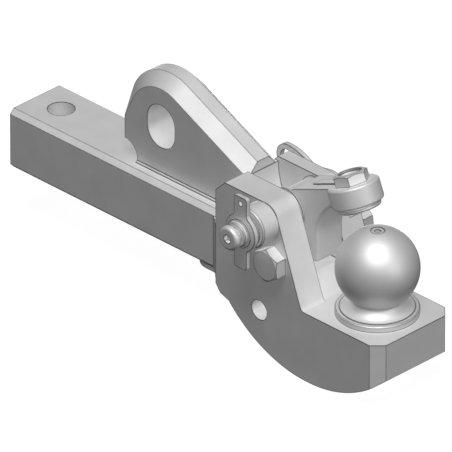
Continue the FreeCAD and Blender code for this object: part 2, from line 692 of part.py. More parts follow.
draw_outline(spigot_side, [
    corner("-spigot_diameter", "spigot_flat"),
    corner("spigot_diameter", "spigot_flat"),
    corner("spigot_diameter", "spigot_diameter"),
    corner("-spigot_diameter", "spigot_diameter"),
])
cut_through(cross_pin, spigot_side, "lever_thickness", symmetric=False, backwards=True)
# In these bodies Y runs down, so the key seat lies at negative Y, on top of the pin
key_seat = new_sketch(cross_pin, "XZ_Plane", out="cross_pin_diameter / 2 - key_seat_depth")
draw_outline(key_seat, [
    corner("key_width / -2", "key_length / -2"),
    corner("key_width / 2", "key_length / -2"),
    corner("key_width / 2", "key_length / 2"),
    corner("key_width / -2", "key_length / 2"),
])
cut_through(cross_pin, key_seat, "cross_pin_diameter", symmetric=False, backwards=True)
pin_key = new_body("pin_key", PIN_X, "0", PIN_Z, ALONG_Y)
key_plan = new_sketch(pin_key, "XZ_Plane", out="cross_pin_diameter / 2 - key_seat_depth")
draw_outline(key_plan, [
    corner("key_width / -2", "key_length / -2"),
    corner("key_width / 2", "key_length / -2"),
    corner("key_width / 2", "key_length / 2"),
    corner("key_width / -2", "key_length / 2"),
])
pad(pin_key, key_plan, "key_height")

# Retaining ring in the pin's groove, which holds the keeper plate against its spring
retaining_ring = new_body("retaining_ring", PIN_X, "0", PIN_Z, ALONG_Y)
tube(retaining_ring, "(cross_pin_diameter - 2 * ring_groove_depth)", "(cross_pin_diameter + 2 * ring_wall)",
     groove_low, groove_high)

# End screw: a domed head with a hexagon socket on a thick waist
end_screw = new_body("end_screw", PIN_X, f"-{PIN_NEAR_END}", PIN_Z, ALONG_Y)
turned(end_screw, [
    corner("0", "-screw_waist_length - screw_head_height"),
    corner("screw_head_diameter / 2 - 5", "-screw_waist_length - screw_head_height",
           arc="screw_head_height * 1.15", bulge="right"),
    corner("screw_head_diameter / 2", "-screw_waist_length - 1.5"),
    corner("screw_head_diameter / 2 - 1", "-screw_waist_length"),
    corner("screw_waist_diameter / 2", "-screw_waist_length"),
    corner("screw_waist_diameter / 2", "0"),
    corner("screw_thread_diameter / 2", "0"),
    corner("screw_thread_diameter / 2", "screw_thread_length"),
    corner("0", "screw_thread_length"),
])
socket = new_sketch(end_screw, "XY_Plane", out="-screw_waist_length - screw_head_height")
hexagon(socket, "screw_socket_flats")
cut_through(end_screw, socket, "screw_head_height - 2", symmetric=False, backwards=True)

# Keeper plate: a flat spring-loaded plate with a round middle and a tab above and below
keeper_plate = new_body("keeper_plate", PIN_X, f"-{KEEPER_OUTER} + keeper_thickness", PIN_Z)
keeper_side = new_sketch(keeper_plate, "XZ_Plane")
tab_side, tab_end, disc_radius = "keeper_width / 2", "keeper_height / 2", "keeper_disc_diameter / 2"
tab_root = f"sqrt(({disc_radius}) * ({disc_radius}) - ({tab_side}) * ({tab_side}))"
draw_outline(keeper_side, [
    corner(tab_side, f"-({tab_root})", arc=disc_radius, bulge="right"),
    corner(tab_side, tab_root),
    corner(tab_side, tab_end, rounded="keeper_tab_round"),
    corner(f"-({tab_side})", tab_end, rounded="keeper_tab_round"),
    corner(f"-({tab_side})", tab_root, arc=disc_radius, bulge="right"),
    corner(f"-({tab_side})", f"-({tab_root})"),
    corner(f"-({tab_side})", f"-({tab_end})", rounded="keeper_tab_round"),
    corner(tab_side, f"-({tab_end})", rounded="keeper_tab_round"),
])
pad(keeper_plate, keeper_side, "keeper_thickness")
keeper_holes = new_sketch(keeper_plate, "XZ_Plane")
draw_circle(keeper_holes, "0", "0", "cross_pin_diameter + 2 * keeper_bore_clearance")
draw_circle(keeper_holes, "0", "keeper_height / 2 - keeper_tab_hole_inset", "keeper_tab_hole")
cut_through(keeper_plate, keeper_holes)

# Disc springs: two cone-shaped spring washers between the boss and the keeper plate, rims together
disc_springs = new_body("disc_springs", PIN_X, "head_width / -2 - boss_length - keeper_gap / 2", PIN_Z, ALONG_Y)
disc_sketch = new_sketch(disc_springs, "XZ_Plane")
disc_bore = "cross_pin_diameter / 2 + keeper_bore_clearance"
for side in ("", "-"):
    hub_face = "keeper_gap / 2 - ring_clearance"
    rim_face = "disc_spring_rim_gap / 2"
    draw_outline(disc_sketch, [
        corner(disc_bore, f"{side}({hub_face})"),
        corner("disc_spring_diameter / 2", f"{side}({rim_face} + disc_spring_thickness)"),
        corner("disc_spring_diameter / 2", f"{side}{rim_face}"),
        corner(disc_bore, f"{side}({hub_face} - disc_spring_thickness)"),
    ])
revolve(disc_springs, disc_sketch)

# Lever: a flat arm on the flatted end of the pin, with an eye that stands above the far cheek
lever = new_body("lever", PIN_X, LEVER_NEAR_Y, PIN_Z, FreeCAD.Rotation(FreeCAD.Vector(0, 1, 0), 1))
lever.setExpression("Placement.Rotation.Angle", formula("lever_rise * 1deg"))
lever_side = new_sketch(lever, "XZ_Plane")
draw_outline(lever_side, [
    corner("-lever_reach * 0.45", "lever_waist", arc="lever_reach", bulge="right"),
    corner("-lever_reach - lever_eye_radius * 0.3", "lever_eye_radius * 0.954",
           arc="lever_eye_radius", bulge="right"),
    corner("-lever_reach - lever_eye_radius * 0.3", "-lever_eye_radius * 0.954"),
    corner("-lever_reach * 0.45", "-lever_waist"),
    corner("lever_hub_radius * -0.5", "-lever_hub_radius * 0.866", arc="lever_hub_radius", bulge="right"),
    corner("lever_hub_radius", "0", arc="lever_hub_radius", bulge="right"),
    corner("lever_hub_radius * -0.5", "lever_hub_radius * 0.866"),
])
pad(lever, lever_side, "lever_thickness", backwards=True)
lever_hole = new_sketch(lever, "XZ_Plane")
draw_circle(lever_hole, "-lever_reach", "0", "lever_eye_hole")
cut_through(lever, lever_hole)
flatted_hole = new_sketch(lever, "XZ_Plane", turn="lever_rise")
flat_half = "sqrt(spigot_diameter * spigot_diameter / 4 - spigot_flat * spigot_flat)"
draw_outline(flatted_hole, [
    corner(flat_half, "-spigot_flat", arc="spigot_diameter / 2", bulge="right"),
    corner("0", "spigot_diameter / 2", arc="spigot_diameter / 2", bulge="right"),
    corner(f"-{flat_half}", "-spigot_flat"),
])
cut_through(lever, flatted_hole)

# Lever screw and washer, which clamp the lever to the end of the pin
lever_washer = new_body("lever_washer", PIN_X, LEVER_FAR_Y, PIN_Z, ALONG_Y)
tube(lever_washer, "lever_screw_diameter", "lever_washer_diameter", "0", "lever_washer_thickness")
lever_screw = new_body("lever_screw", PIN_X, f"{LEVER_FAR_Y} + lever_washer_thickness", PIN_Z, ALONG_Y)
hexagon_head(lever_screw, "lever_screw_flats", "0", "lever_screw_head", "top")
tube(lever_screw, "0", "lever_screw_diameter", "-lever_screw_length", "0")

# Stop bolt: it ties the cheeks together, and its sleeve is what the arm rests against
stop_bolt = new_body("stop_bolt", STOP_X, "head_width / -2", STOP_Z, ALONG_Y)
hexagon_head(stop_bolt, "stop_bolt_flats", "-stop_head_height", "0", "bottom")
tube(stop_bolt, "0", "stop_bolt_diameter", "0", f"head_width / 2 + {STOP_BOLT_END_Y}")
stop_washer = new_body("stop_washer", STOP_X, "head_width / 2", STOP_Z, ALONG_Y)
tube(stop_washer, "stop_bolt_diameter", "stop_washer_diameter", "0", "stop_washer_thickness")
stop_nut = new_body("stop_nut", STOP_X, STOP_NUT_Y, STOP_Z, ALONG_Y)
hexagon_head(stop_nut, "stop_bolt_flats", "0", "stop_nut_height", "top")
nut_bore = new_sketch(stop_nut, "XY_Plane")
draw_circle(nut_bore, "0", "0", "stop_bolt_diameter")
cut_through(stop_nut, nut_bore)
stop_sleeve = new_body("stop_sleeve", STOP_X, "0", STOP_Z, ALONG_Y)
tube(stop_sleeve, "stop_bolt_diameter", "sleeve_diameter", "sleeve_end_clearance - cheek_gap / 2",
     "cheek_gap / 2 - sleeve_end_clearance")

# Hold-down arm: a casting with a hub on the cross pin, a toe that rests on the stop sleeve, and a
# ring whose axis points at the ball's centre. Its sketches are measured from the pin.
hold_down_arm = new_body("hold_down_arm", PIN_X, "0", PIN_Z)
arm_side = new_sketch(hold_down_arm, "XZ_Plane")
TILT = "(pad_tilt * 1deg)"
HUB_RADIUS = "(hub_diameter / 2)"
SEAT_RADIUS = "(sleeve_diameter / 2 + arm_stop_clearance)"
seat_x, seat_z = "(pin_behind_ball - stop_behind_ball)", "(-pin_above_ball - stop_below_ball)"
toe_face_x = f"({seat_x} + {SEAT_RADIUS} + toe_wall)"


def by_ring(along, across):
    """A point by its distance from the ball along the ring's axis, and across it to the front."""
    x = f"(pin_behind_ball - ({along}) * sin({TILT}) + ({across}) * cos({TILT}))"
    z = f"(-pin_above_ball + ({along}) * cos({TILT}) + ({across}) * sin({TILT}))"
    return x, z


ring_upper, ring_lower = f"{ARM_RING_TOP} - arm_ring_chamfer", "arm_ring_start + arm_ring_chamfer"
neck_top_x, neck_top_z = by_ring(ring_upper, "arm_ring_inset * -1")
neck_top_far = f"sqrt({neck_top_x} * {neck_top_x} + {neck_top_z} * {neck_top_z})"
hub_touch = f"(atan({neck_top_z} / {neck_top_x}) + acos({HUB_RADIUS} / {neck_top_far}))"
draw_outline(arm_side, [
    corner(f"{HUB_RADIUS} * cos({hub_touch})", f"{HUB_RADIUS} * sin({hub_touch})"),
    corner(neck_top_x, neck_top_z),
    corner(*by_ring(ring_upper, "0")),
    corner(*by_ring(ring_lower, "0")),
    corner(*by_ring(ring_lower, "arm_ring_inset * -1"), arc="throat_radius", bulge="right"),
    corner(toe_face_x, "toe_face_height - toe_depth"),
    corner(toe_face_x, "-toe_depth", rounded="toe_round"),
    corner(f"{seat_x} + {SEAT_RADIUS}", "-toe_depth"),
    corner(f"{seat_x} + {SEAT_RADIUS}", seat_z, arc=SEAT_RADIUS, bulge="right"),
    corner(seat_x, f"{seat_z} + {SEAT_RADIUS}"),
    corner(f"{HUB_RADIUS} * cos(70deg)", f"{HUB_RADIUS} * sin(-70deg)", arc=HUB_RADIUS, bulge="left"),
    corner(f"-{HUB_RADIUS}", "0", arc=HUB_RADIUS, bulge="left"),
])
pad(hold_down_arm, arm_side, f"2 * {ARM_HALF_WIDTH}", symmetric=True)
arm_ring = new_sketch(hold_down_arm, "XZ_Plane", "pin_behind_ball", "pin_above_ball * -1", turn="pad_tilt")
ring_radius = "arm_ring_diameter / 2"
draw_outline(arm_ring, [
    corner("0", "arm_ring_start"),
    corner(f"{ring_radius} - arm_ring_chamfer", "arm_ring_start"),
    corner(ring_radius, ring_lower),
    corner(ring_radius, ring_upper),
    corner(f"{ring_radius} - arm_ring_chamfer", ARM_RING_TOP),
    corner("0", ARM_RING_TOP),
])
revolve(hold_down_arm, arm_ring)
arm_rib = new_sketch(hold_down_arm, "XZ_Plane")
draw_outline(arm_rib, [
    corner(f"({HUB_RADIUS} + arm_rib_height) * cos({hub_touch})",
           f"({HUB_RADIUS} + arm_rib_height) * sin({hub_touch})"),
    corner(*by_ring(ARM_RING_TOP, "arm_rib_end * -1")),
    corner(*by_ring(f"{ARM_RING_TOP} - arm_ring_height / 2", "arm_rib_end * -1")),
    corner(f"({HUB_RADIUS} - arm_rib_height) * cos({hub_touch})",
           f"({HUB_RADIUS} - arm_rib_height) * sin({hub_touch})"),
])
pad(hold_down_arm, arm_rib, "arm_rib_width", symmetric=True)
pin_bore = new_sketch(hold_down_arm, "XZ_Plane")
draw_circle(pin_bore, "0", "0", "cross_pin_diameter")
cut_through(hold_down_arm, pin_bore)
keyway = new_sketch(hold_down_arm, "XZ_Plane")
draw_outline(keyway, [
    corner("key_width / -2", "0"),
    corner("key_width / 2", "0"),
    corner("key_width / 2", "cross_pin_diameter / 2 - key_seat_depth + key_height"),
    corner("key_width / -2", "cross_pin_diameter / 2 - key_seat_depth + key_height"),
])
cut_through(hold_down_arm, keyway)
stud_bore = new_sketch(hold_down_arm, "XZ_Plane", "pin_behind_ball", "pin_above_ball * -1", turn="pad_tilt")
draw_outline(stud_bore, [
    corner("0", PAD_TOP),
    corner("stud_diameter / 2 + stud_clearance", PAD_TOP),
    corner("stud_diameter / 2 + stud_clearance", f"{ARM_RING_TOP} + arm_rib_height"),
    corner("0", f"{ARM_RING_TOP} + arm_rib_height"),
])
revolve(hold_down_arm, stud_bore, cut=True)

# Pressure pad: a round pad with a shallow dish, carried by the stud below the ring
pressure_pad = new_tilted_body("pressure_pad")
PAD_BOTTOM = f"({PAD_TOP} - pad_thickness)"
pad_radius = "pad_diameter / 2"
turned(pressure_pad, [
    corner("0", f"{PAD_BOTTOM} + pad_dish_depth"),
    corner("pad_dish_diameter / 2 - pad_dish_depth", f"{PAD_BOTTOM} + pad_dish_depth"),
    corner("pad_dish_diameter / 2", PAD_BOTTOM),
    corner(pad_radius, PAD_BOTTOM, rounded="pad_edge_round"),
    corner(pad_radius, PAD_TOP, rounded="pad_edge_round"),
    corner("stud_neck_diameter / 2 + stud_clearance", PAD_TOP),
    corner("stud_neck_diameter / 2 + stud_clearance", f"{PAD_TOP} - stud_neck_length - stud_clearance"),
    corner("0", f"{PAD_TOP} - stud_neck_length - stud_clearance"),
])

# Adjusting stud: a threaded stud through the ring, with a hexagon socket in its top
adjusting_stud = new_tilted_body("adjusting_stud")
STUD_TOP = f"({ARM_RING_TOP} + lock_nut_height - stud_below_nut_top)"
turned(adjusting_stud, [
    corner("0", f"{PAD_TOP} - stud_neck_length"),
    corner("stud_neck_diameter / 2", f"{PAD_TOP} - stud_neck_length"),
    corner("stud_neck_diameter / 2", f"{PAD_TOP} + stud_clearance"),
    corner("stud_diameter / 2", f"{PAD_TOP} + stud_clearance"),
    corner("stud_diameter / 2", f"{STUD_TOP} - pad_edge_round"),
    corner("stud_diameter / 2 - pad_edge_round", STUD_TOP),
    corner("0", STUD_TOP),
])
stud_socket = new_sketch(adjusting_stud, "XY_Plane", out=STUD_TOP)
hexagon(stud_socket, "stud_socket_flats")
cut_through(adjusting_stud, stud_socket, "stud_socket_depth", symmetric=False)

# Lock nut on top of the ring, which holds the stud where it has been set
lock_nut = new_tilted_body("lock_nut")
LOCK_NUT_TOP = f"({ARM_RING_TOP} + lock_nut_height)"
hexagon_head(lock_nut, "lock_nut_flats", ARM_RING_TOP, LOCK_NUT_TOP, "top", number("lock_nut_turn"))
turned(lock_nut, [
    corner("0", ARM_RING_TOP),
    corner("stud_diameter / 2 + stud_clearance", ARM_RING_TOP),
    corner("stud_diameter / 2 + stud_clearance", f"{LOCK_NUT_TOP} - lock_nut_recess_depth"),
    corner("lock_nut_recess_diameter / 2", f"{LOCK_NUT_TOP} - lock_nut_recess_depth"),
    corner("lock_nut_recess_diameter / 2", LOCK_NUT_TOP),
    corner("0", LOCK_NUT_TOP),
], cut=True)

# Every piece is checked before it is written out
PIECES = [item for item in document.Objects if item.TypeId == "PartDesign::Body"]
document.recompute()
for item in document.Objects:
    if "Invalid" in item.State or "Error" in item.State:
        raise RuntimeError(f"{item.Name} failed: {item.State}")
os.makedirs("parts", exist_ok=True)
for piece in PIECES:
    shape = piece.Shape
    if shape.isNull() or not shape.isValid() or not shape.Solids:
        raise RuntimeError(f"{piece.Label} has no valid solid")
    shape.exportStep(f"parts/{piece.Label}.step")
    print(piece.Label, len(shape.Solids), round(shape.Volume), shape.BoundBox)
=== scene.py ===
import math

import bmesh
import bpy
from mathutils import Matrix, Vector


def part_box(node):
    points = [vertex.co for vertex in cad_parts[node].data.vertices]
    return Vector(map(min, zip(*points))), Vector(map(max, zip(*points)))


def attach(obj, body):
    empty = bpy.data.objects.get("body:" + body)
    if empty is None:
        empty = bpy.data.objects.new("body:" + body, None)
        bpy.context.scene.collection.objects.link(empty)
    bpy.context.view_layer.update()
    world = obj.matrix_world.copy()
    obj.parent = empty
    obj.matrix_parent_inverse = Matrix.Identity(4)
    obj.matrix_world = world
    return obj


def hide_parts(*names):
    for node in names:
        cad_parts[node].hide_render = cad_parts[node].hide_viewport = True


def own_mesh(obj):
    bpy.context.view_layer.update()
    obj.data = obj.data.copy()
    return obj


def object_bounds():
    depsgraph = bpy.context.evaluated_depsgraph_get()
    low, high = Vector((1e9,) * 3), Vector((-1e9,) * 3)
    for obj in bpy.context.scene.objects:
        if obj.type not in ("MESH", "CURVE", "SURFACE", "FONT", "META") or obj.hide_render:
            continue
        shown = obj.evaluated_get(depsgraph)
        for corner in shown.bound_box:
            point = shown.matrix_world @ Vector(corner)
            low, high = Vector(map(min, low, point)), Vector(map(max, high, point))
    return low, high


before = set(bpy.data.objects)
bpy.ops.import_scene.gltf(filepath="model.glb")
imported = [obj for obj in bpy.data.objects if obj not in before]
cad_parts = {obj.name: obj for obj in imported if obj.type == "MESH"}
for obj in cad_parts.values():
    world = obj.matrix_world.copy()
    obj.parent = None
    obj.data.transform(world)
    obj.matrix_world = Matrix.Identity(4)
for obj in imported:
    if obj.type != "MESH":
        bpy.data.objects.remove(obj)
cad_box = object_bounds()

# Picture: the hitch floats level over a pale floor and is seen from the ball's end, 45 degrees round
# and 30 degrees up, through a very long lens. The frame is 418.5 mm wide where the hitch stands.
VIEW_ROUND = math.radians(45)
VIEW_UP = math.radians(30)
FRAME_WIDTH = 0.4185
LENS = 1650
SENSOR = 36
NEAR_CLIP = 0.01
FAR_CLIP_SHARE = 4
PICTURE_CENTRE = Vector((0.3043, -0.0857, 0.0642))

towards_camera = Vector((math.sin(VIEW_ROUND) * math.cos(VIEW_UP),
                         -math.cos(VIEW_ROUND) * math.cos(VIEW_UP), math.sin(VIEW_UP)))
camera_distance = FRAME_WIDTH * LENS / SENSOR
camera_data = bpy.data.cameras.new("picture_camera")
camera_data.lens = LENS
camera_data.sensor_width = SENSOR
camera_data.clip_start = NEAR_CLIP
camera_data.clip_end = camera_distance * FAR_CLIP_SHARE
camera = bpy.data.objects.new("picture_camera", camera_data)
camera.location = PICTURE_CENTRE + towards_camera * camera_distance
camera.rotation_mode = "QUATERNION"
camera.rotation_quaternion = (-towards_camera).to_track_quat("-Z", "Y")
bpy.context.scene.collection.objects.link(camera)
bpy.context.scene.camera = camera
bpy.context.scene.view_settings.view_transform = "Standard"

# Studio lamps: a soft key high over the near side, most of it without shadow so that shadows stay pale,
# a weak lamp on the ball's end, and a low one from behind for the sides that the picture doesn't show.
KEY_FROM = (0.278, -0.321, 0.906)
KEY_WITH_SHADOW = 1.2
KEY_WITHOUT_SHADOW = 3.9
KEY_SOFTNESS = 24
END_FROM = (0.95, 0.1, 0.3)
END_STRENGTH = 1.0
BACK_FROM = (-0.72, 0.69, -0.2)
BACK_STRENGTH = 2.2
SIDE_SOFTNESS = 20


def lamp(name, towards, strength, softness, shadow):
    """A far, soft lamp that shines from the direction given."""
    data = bpy.data.lights.new(name, "SUN")
    data.energy = strength
    data.angle = math.radians(softness)
    data.use_shadow = shadow
    made = bpy.data.objects.new(name, data)
    made.rotation_mode = "QUATERNION"
    made.rotation_quaternion = Vector(towards).to_track_quat("Z", "Y")
    bpy.context.scene.collection.objects.link(made)


lamp("key_lamp", KEY_FROM, KEY_WITH_SHADOW, KEY_SOFTNESS, True)
lamp("key_fill", KEY_FROM, KEY_WITHOUT_SHADOW, KEY_SOFTNESS, False)
lamp("end_lamp", END_FROM, END_STRENGTH, SIDE_SOFTNESS, False)
lamp("back_lamp", BACK_FROM, BACK_STRENGTH, SIDE_SOFTNESS, False)

# Backdrop and floor: the air is white to the camera and dim to the steel. The floor is a pale sheet
# under the head, dark to the steel so that it throws little light back, and it keeps the soft shadow.
AIR_LIGHT = 0.05
FLOOR_COLOUR = 0.04
FLOOR_SEEN_COLOUR = 0.3
FLOOR_SEEN_GLOW = 0.6
FLOOR_HALF = 120


def by_camera(tree, unseen, seen):
    """One shader for the light that reaches the steel, and another for what the camera sees."""
    rays = tree.nodes.new("ShaderNodeLightPath")
    mix = tree.nodes.new("ShaderNodeMixShader")
    tree.links.new(rays.outputs["Is Camera Ray"], mix.inputs[0])
    tree.links.new(unseen.outputs[0], mix.inputs[1])
    tree.links.new(seen.outputs[0], mix.inputs[2])
    return mix.outputs[0]


world = bpy.data.worlds.new("pale_air")
bpy.context.scene.world = world
world.use_nodes = True
air = world.node_tree
air.nodes.clear()
air_dim = air.nodes.new("ShaderNodeBackground")
air_dim.inputs["Strength"].default_value = AIR_LIGHT
air_white = air.nodes.new("ShaderNodeBackground")
air_white.inputs["Color"].default_value = (1, 1, 1, 1)
air_white.inputs["Strength"].default_value = 1
air_out = air.nodes.new("ShaderNodeOutputWorld")
air.links.new(by_camera(air, air_dim, air_white), air_out.inputs[0])

floor_mesh = bpy.data.meshes.new("floor")
floor_corners = [(-1, -1), (1, -1), (1, 1), (-1, 1)]
floor_level = cad_box[0].z
floor_mesh.from_pydata([(x * FLOOR_HALF, y * FLOOR_HALF, floor_level) for x, y in floor_corners],
                       [], [(0, 1, 2, 3)])
floor = bpy.data.objects.new("floor", floor_mesh)
bpy.context.scene.collection.objects.link(floor)
floor_finish = bpy.data.materials.new("pale_floor")
floor_finish.use_nodes = True
sheet = floor_finish.node_tree
sheet.nodes.clear()
sheet_dull = sheet.nodes.new("ShaderNodeBsdfDiffuse")
sheet_dull.inputs["Color"].default_value = (FLOOR_COLOUR, FLOOR_COLOUR, FLOOR_COLOUR, 1)
sheet_pale = sheet.nodes.new("ShaderNodeBsdfDiffuse")
sheet_pale.inputs["Color"].default_value = (FLOOR_SEEN_COLOUR, FLOOR_SEEN_COLOUR, FLOOR_SEEN_COLOUR, 1)
sheet_glow = sheet.nodes.new("ShaderNodeEmission")
sheet_glow.inputs["Strength"].default_value = FLOOR_SEEN_GLOW
sheet_seen = sheet.nodes.new("ShaderNodeAddShader")
sheet.links.new(sheet_pale.outputs[0], sheet_seen.inputs[0])
sheet.links.new(sheet_glow.outputs[0], sheet_seen.inputs[1])
sheet_out = sheet.nodes.new("ShaderNodeOutputMaterial")
sheet.links.new(by_camera(sheet, sheet_dull, sheet_seen), sheet_out.inputs[0])
floor.data.materials.append(floor_finish)

# Drawbar: a solid square bar of forged steel with milled edges and a drilled pin hole near its end.
# Its skin is an even grey oxide with a fine grain, and a thin line of painted shade darkens every edge.
FORGED_GREY = 0.5
FORGED_GLOSS = 0.55
GLOSS_SWING = 0.04
MOTTLE_SCALE = 38
MOTTLE_DETAIL = 5
GRAIN_DETAIL = 3
NOISE_LOW = 0.3
NOISE_HIGH = 0.7
# Painted shade along the edges: a thin dark line wherever one face turns into another, convex or concave
# alike
EDGE_SHADE_WIDTH = 0.0016
EDGE_SHADE = 0.15
EDGE_SAMPLES = 8
EDGE_TURNED = 0.955
EDGE_STRAIGHT = 0.998
TOOL_LINE_SCALE = 1600
TOOL_LINE_DETAIL = 2


def noise(tree, place, scale, detail):
    """A cloudy pattern over the piece."""
    cloud = tree.nodes.new("ShaderNodeTexNoise")
    cloud.inputs["Scale"].default_value = scale
    cloud.inputs["Detail"].default_value = detail
    tree.links.new(place, cloud.inputs["Vector"])
    return cloud.outputs["Fac"]


def remapped(tree, value, low, high, new_low, new_high):
    """A value moved from one span to another."""
    span = tree.nodes.new("ShaderNodeMapRange")
    span.inputs["From Min"].default_value = low
    span.inputs["From Max"].default_value = high
    span.inputs["To Min"].default_value = new_low
    span.inputs["To Max"].default_value = new_high
    tree.links.new(value, span.inputs["Value"])
    return span.outputs["Result"]


def vector_step(tree, operation, vector, direction=(0, 0, 0)):
    """One step of vector arithmetic with a fixed direction."""
    step = tree.nodes.new("ShaderNodeVectorMath")
    step.operation = operation
    step.inputs[1].default_value = direction
    tree.links.new(vector, step.inputs[0])
    return step


def tool_lines(tree, place, centre, along):
    """Fine rings on a turned piece: noise over the height along its axis and the distance from it."""
    shift = tree.nodes.new("ShaderNodeMapping")
    shift.inputs["Location"].default_value = [-value for value in centre]
    tree.links.new(place, shift.inputs["Vector"])
    climb = vector_step(tree, "DOT_PRODUCT", shift.outputs["Vector"], along)
    across = vector_step(tree, "CROSS_PRODUCT", shift.outputs["Vector"], along)
    reach = vector_step(tree, "LENGTH", across.outputs["Vector"])
    ring_place = tree.nodes.new("ShaderNodeCombineXYZ")
    tree.links.new(climb.outputs["Value"], ring_place.inputs["X"])
    tree.links.new(reach.outputs["Value"], ring_place.inputs["Y"])
    return noise(tree, ring_place.outputs[0], TOOL_LINE_SCALE, TOOL_LINE_DETAIL)


def painted_edge_shade(tree):
    """Painted shade along every edge: how much of its grey the skin keeps, from how far a rounded edge turns
    from the flat face.
    """
    rounded = tree.nodes.new("ShaderNodeBevel")
    rounded.samples = EDGE_SAMPLES
    rounded.inputs["Radius"].default_value = EDGE_SHADE_WIDTH
    flat = tree.nodes.new("ShaderNodeNewGeometry")
    likeness = vector_step(tree, "DOT_PRODUCT", rounded.outputs["Normal"])
    tree.links.new(flat.outputs["Normal"], likeness.inputs[1])
    return remapped(tree, likeness.outputs["Value"], EDGE_TURNED, EDGE_STRAIGHT, EDGE_SHADE, 1)


def steel_finish(name, grey, gloss, metal=0.45, grain=900, grain_depth=0.00003, mottle=0.04, turning=None):
    """A grey steel skin with mottle, fine grain and painted shade along its edges. Turning is a point and a
    direction about which the piece was turned, and gives it fine tool lines."""
    finish = bpy.data.materials.new(name)
    finish.use_nodes = True
    tree = finish.node_tree
    skin = tree.nodes["Principled BSDF"]
    skin.inputs["Metallic"].default_value = metal
    place = tree.nodes.new("ShaderNodeTexCoord").outputs["Object"]
    cloud = noise(tree, place, MOTTLE_SCALE, MOTTLE_DETAIL)
    speckle = noise(tree, place, grain, GRAIN_DETAIL)
    shade = remapped(tree, cloud, NOISE_LOW, NOISE_HIGH, grey * (1 - mottle), grey * (1 + mottle))
    # The mottled grey is multiplied by the painted edge shade
    painted_edge_darkening = tree.nodes.new("ShaderNodeMath")
    painted_edge_darkening.operation = "MULTIPLY"
    tree.links.new(shade, painted_edge_darkening.inputs[0])
    tree.links.new(painted_edge_shade(tree), painted_edge_darkening.inputs[1])
    tree.links.new(painted_edge_darkening.outputs[0], skin.inputs["Base Color"])
    polish = remapped(tree, speckle, NOISE_LOW, NOISE_HIGH, gloss - GLOSS_SWING, gloss + GLOSS_SWING)
    tree.links.new(polish, skin.inputs["Roughness"])
    relief = tree.nodes.new("ShaderNodeBump")
    relief.inputs["Strength"].default_value = 1
    relief.inputs["Distance"].default_value = grain_depth
    height = tool_lines(tree, place, *turning) if turning else speckle
    tree.links.new(height, relief.inputs["Height"])
    tree.links.new(relief.outputs["Normal"], skin.inputs["Normal"])
    return finish


def dress(node, finish):
    """Gives a node of the frame its finish."""
    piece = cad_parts[node]
    piece.data.materials.clear()
    piece.data.materials.append(finish)


forged = steel_finish("forged_skin", FORGED_GREY, FORGED_GLOSS)
dress("drawbar", forged)

# Heel plate: a flat steel plate under the bar, where the bar meets the head. It is flame cut, welded on
# and painted over together with the bar.
dress("heel_plate", forged)

# Side welds: heavy beads in several passes that fill the corners between the bar's sides and the wider
# head. Each is a rippled run laid upright, and its skin is rougher and more mottled than the bar's.
WELD_GREY = 0.44
WELD_GLOSS = 0.6
WELD_MOTTLE = 0.1
WELD_GRAIN = 500
WELD_ROW = 0.0006
WELD_COLUMNS = 30
SIDE_WELD_PASSES = 3
SIDE_WELD_DEPTH = 0.0009
RIPPLE_PITCH = 0.0022
RIPPLE_SHARE = 0.25
PASS_SHIFT = 0.37
TOE_FADES = 6
SMOOTH_BELOW = math.radians(28)
weld_skin = steel_finish("weld_skin", WELD_GREY, WELD_GLOSS, mottle=WELD_MOTTLE, grain=WELD_GRAIN)


def finished(name, mesh, finish, body, replaced):
    """A modelled piece in place of a node of the frame, shaded smooth up to its real edges."""
    mesh.materials.clear()
    mesh.materials.append(finish)
    for face in mesh.polygons:
        face.use_smooth = True
    mesh.set_sharp_from_angle(angle=SMOOTH_BELOW)
    piece = bpy.data.objects.new(name, mesh)
    bpy.context.scene.collection.objects.link(piece)
    flat_faces = piece.modifiers.new("flat_faces", "WEIGHTED_NORMAL")
    flat_faces.keep_sharp = True
    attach(piece, body)
    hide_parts(replaced)
    return piece


def weld_run(work, root, leg_a, leg_b, along, passes, depth):
    """A fillet weld on a root line: its face spans the two legs and has ripples and pass grooves."""
    length = along.length
    rows = round(length / WELD_ROW)
    face_in = leg_a.cross(leg_b).cross(leg_a - leg_b).normalized()
    if face_in.dot(leg_a) > 0:
        face_in = -face_in
    grid = []
    for row in range(rows + 1):
        way = row / rows
        line = []
        for column in range(WELD_COLUMNS + 1):
            over = column / WELD_COLUMNS
            in_pass = (over * passes) % 1 if over < 1 else 1
            crown = math.sin(math.pi * in_pass)
            chevron = (way * length - crown * RIPPLE_PITCH) / RIPPLE_PITCH
            ripple = abs(math.sin(math.pi * (chevron + PASS_SHIFT * math.floor(over * passes))))
            low = depth * (1 - (1 - RIPPLE_SHARE) * crown - RIPPLE_SHARE * crown * ripple)
            fade = min(over, 1 - over) * TOE_FADES
            point = root + leg_a * (1 - over) + leg_b * over + along * way
            line.append(work.verts.new(point + face_in * low * min(fade, 1)))
        line.append(work.verts.new(root + along * way))
        grid.append(line)
    count = WELD_COLUMNS + 2
    for lower, upper in zip(grid, grid[1:]):
        for column in range(count):
            after = (column + 1) % count
            work.faces.new((lower[column], lower[after], upper[after], upper[column]))
    work.faces.new(grid[0])
    work.faces.new(list(reversed(grid[-1])))


def closed_mesh(name, work):
    """The mesh of a closed bmesh, with its faces turned outwards."""
    bmesh.ops.recalc_face_normals(work, faces=work.faces)
    mesh = bpy.data.meshes.new(name)
    work.to_mesh(mesh)
    work.free()
    return mesh


side_low, side_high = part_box("side_welds")
bar_low, bar_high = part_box("drawbar")
side_weld_work = bmesh.new()
for bar_face, head_face in ((bar_low.y, side_low.y), (bar_high.y, side_high.y)):
    weld_run(side_weld_work, Vector((side_high.x, bar_face, side_low.z)),
             Vector((0, head_face - bar_face, 0)), Vector((side_low.x - side_high.x, 0, 0)),
             Vector((0, 0, side_high.z - side_low.z)), SIDE_WELD_PASSES, SIDE_WELD_DEPTH)
finished("side_weld_runs", closed_mesh("side_weld_runs", side_weld_work), weld_skin, "head",
         "side_welds")

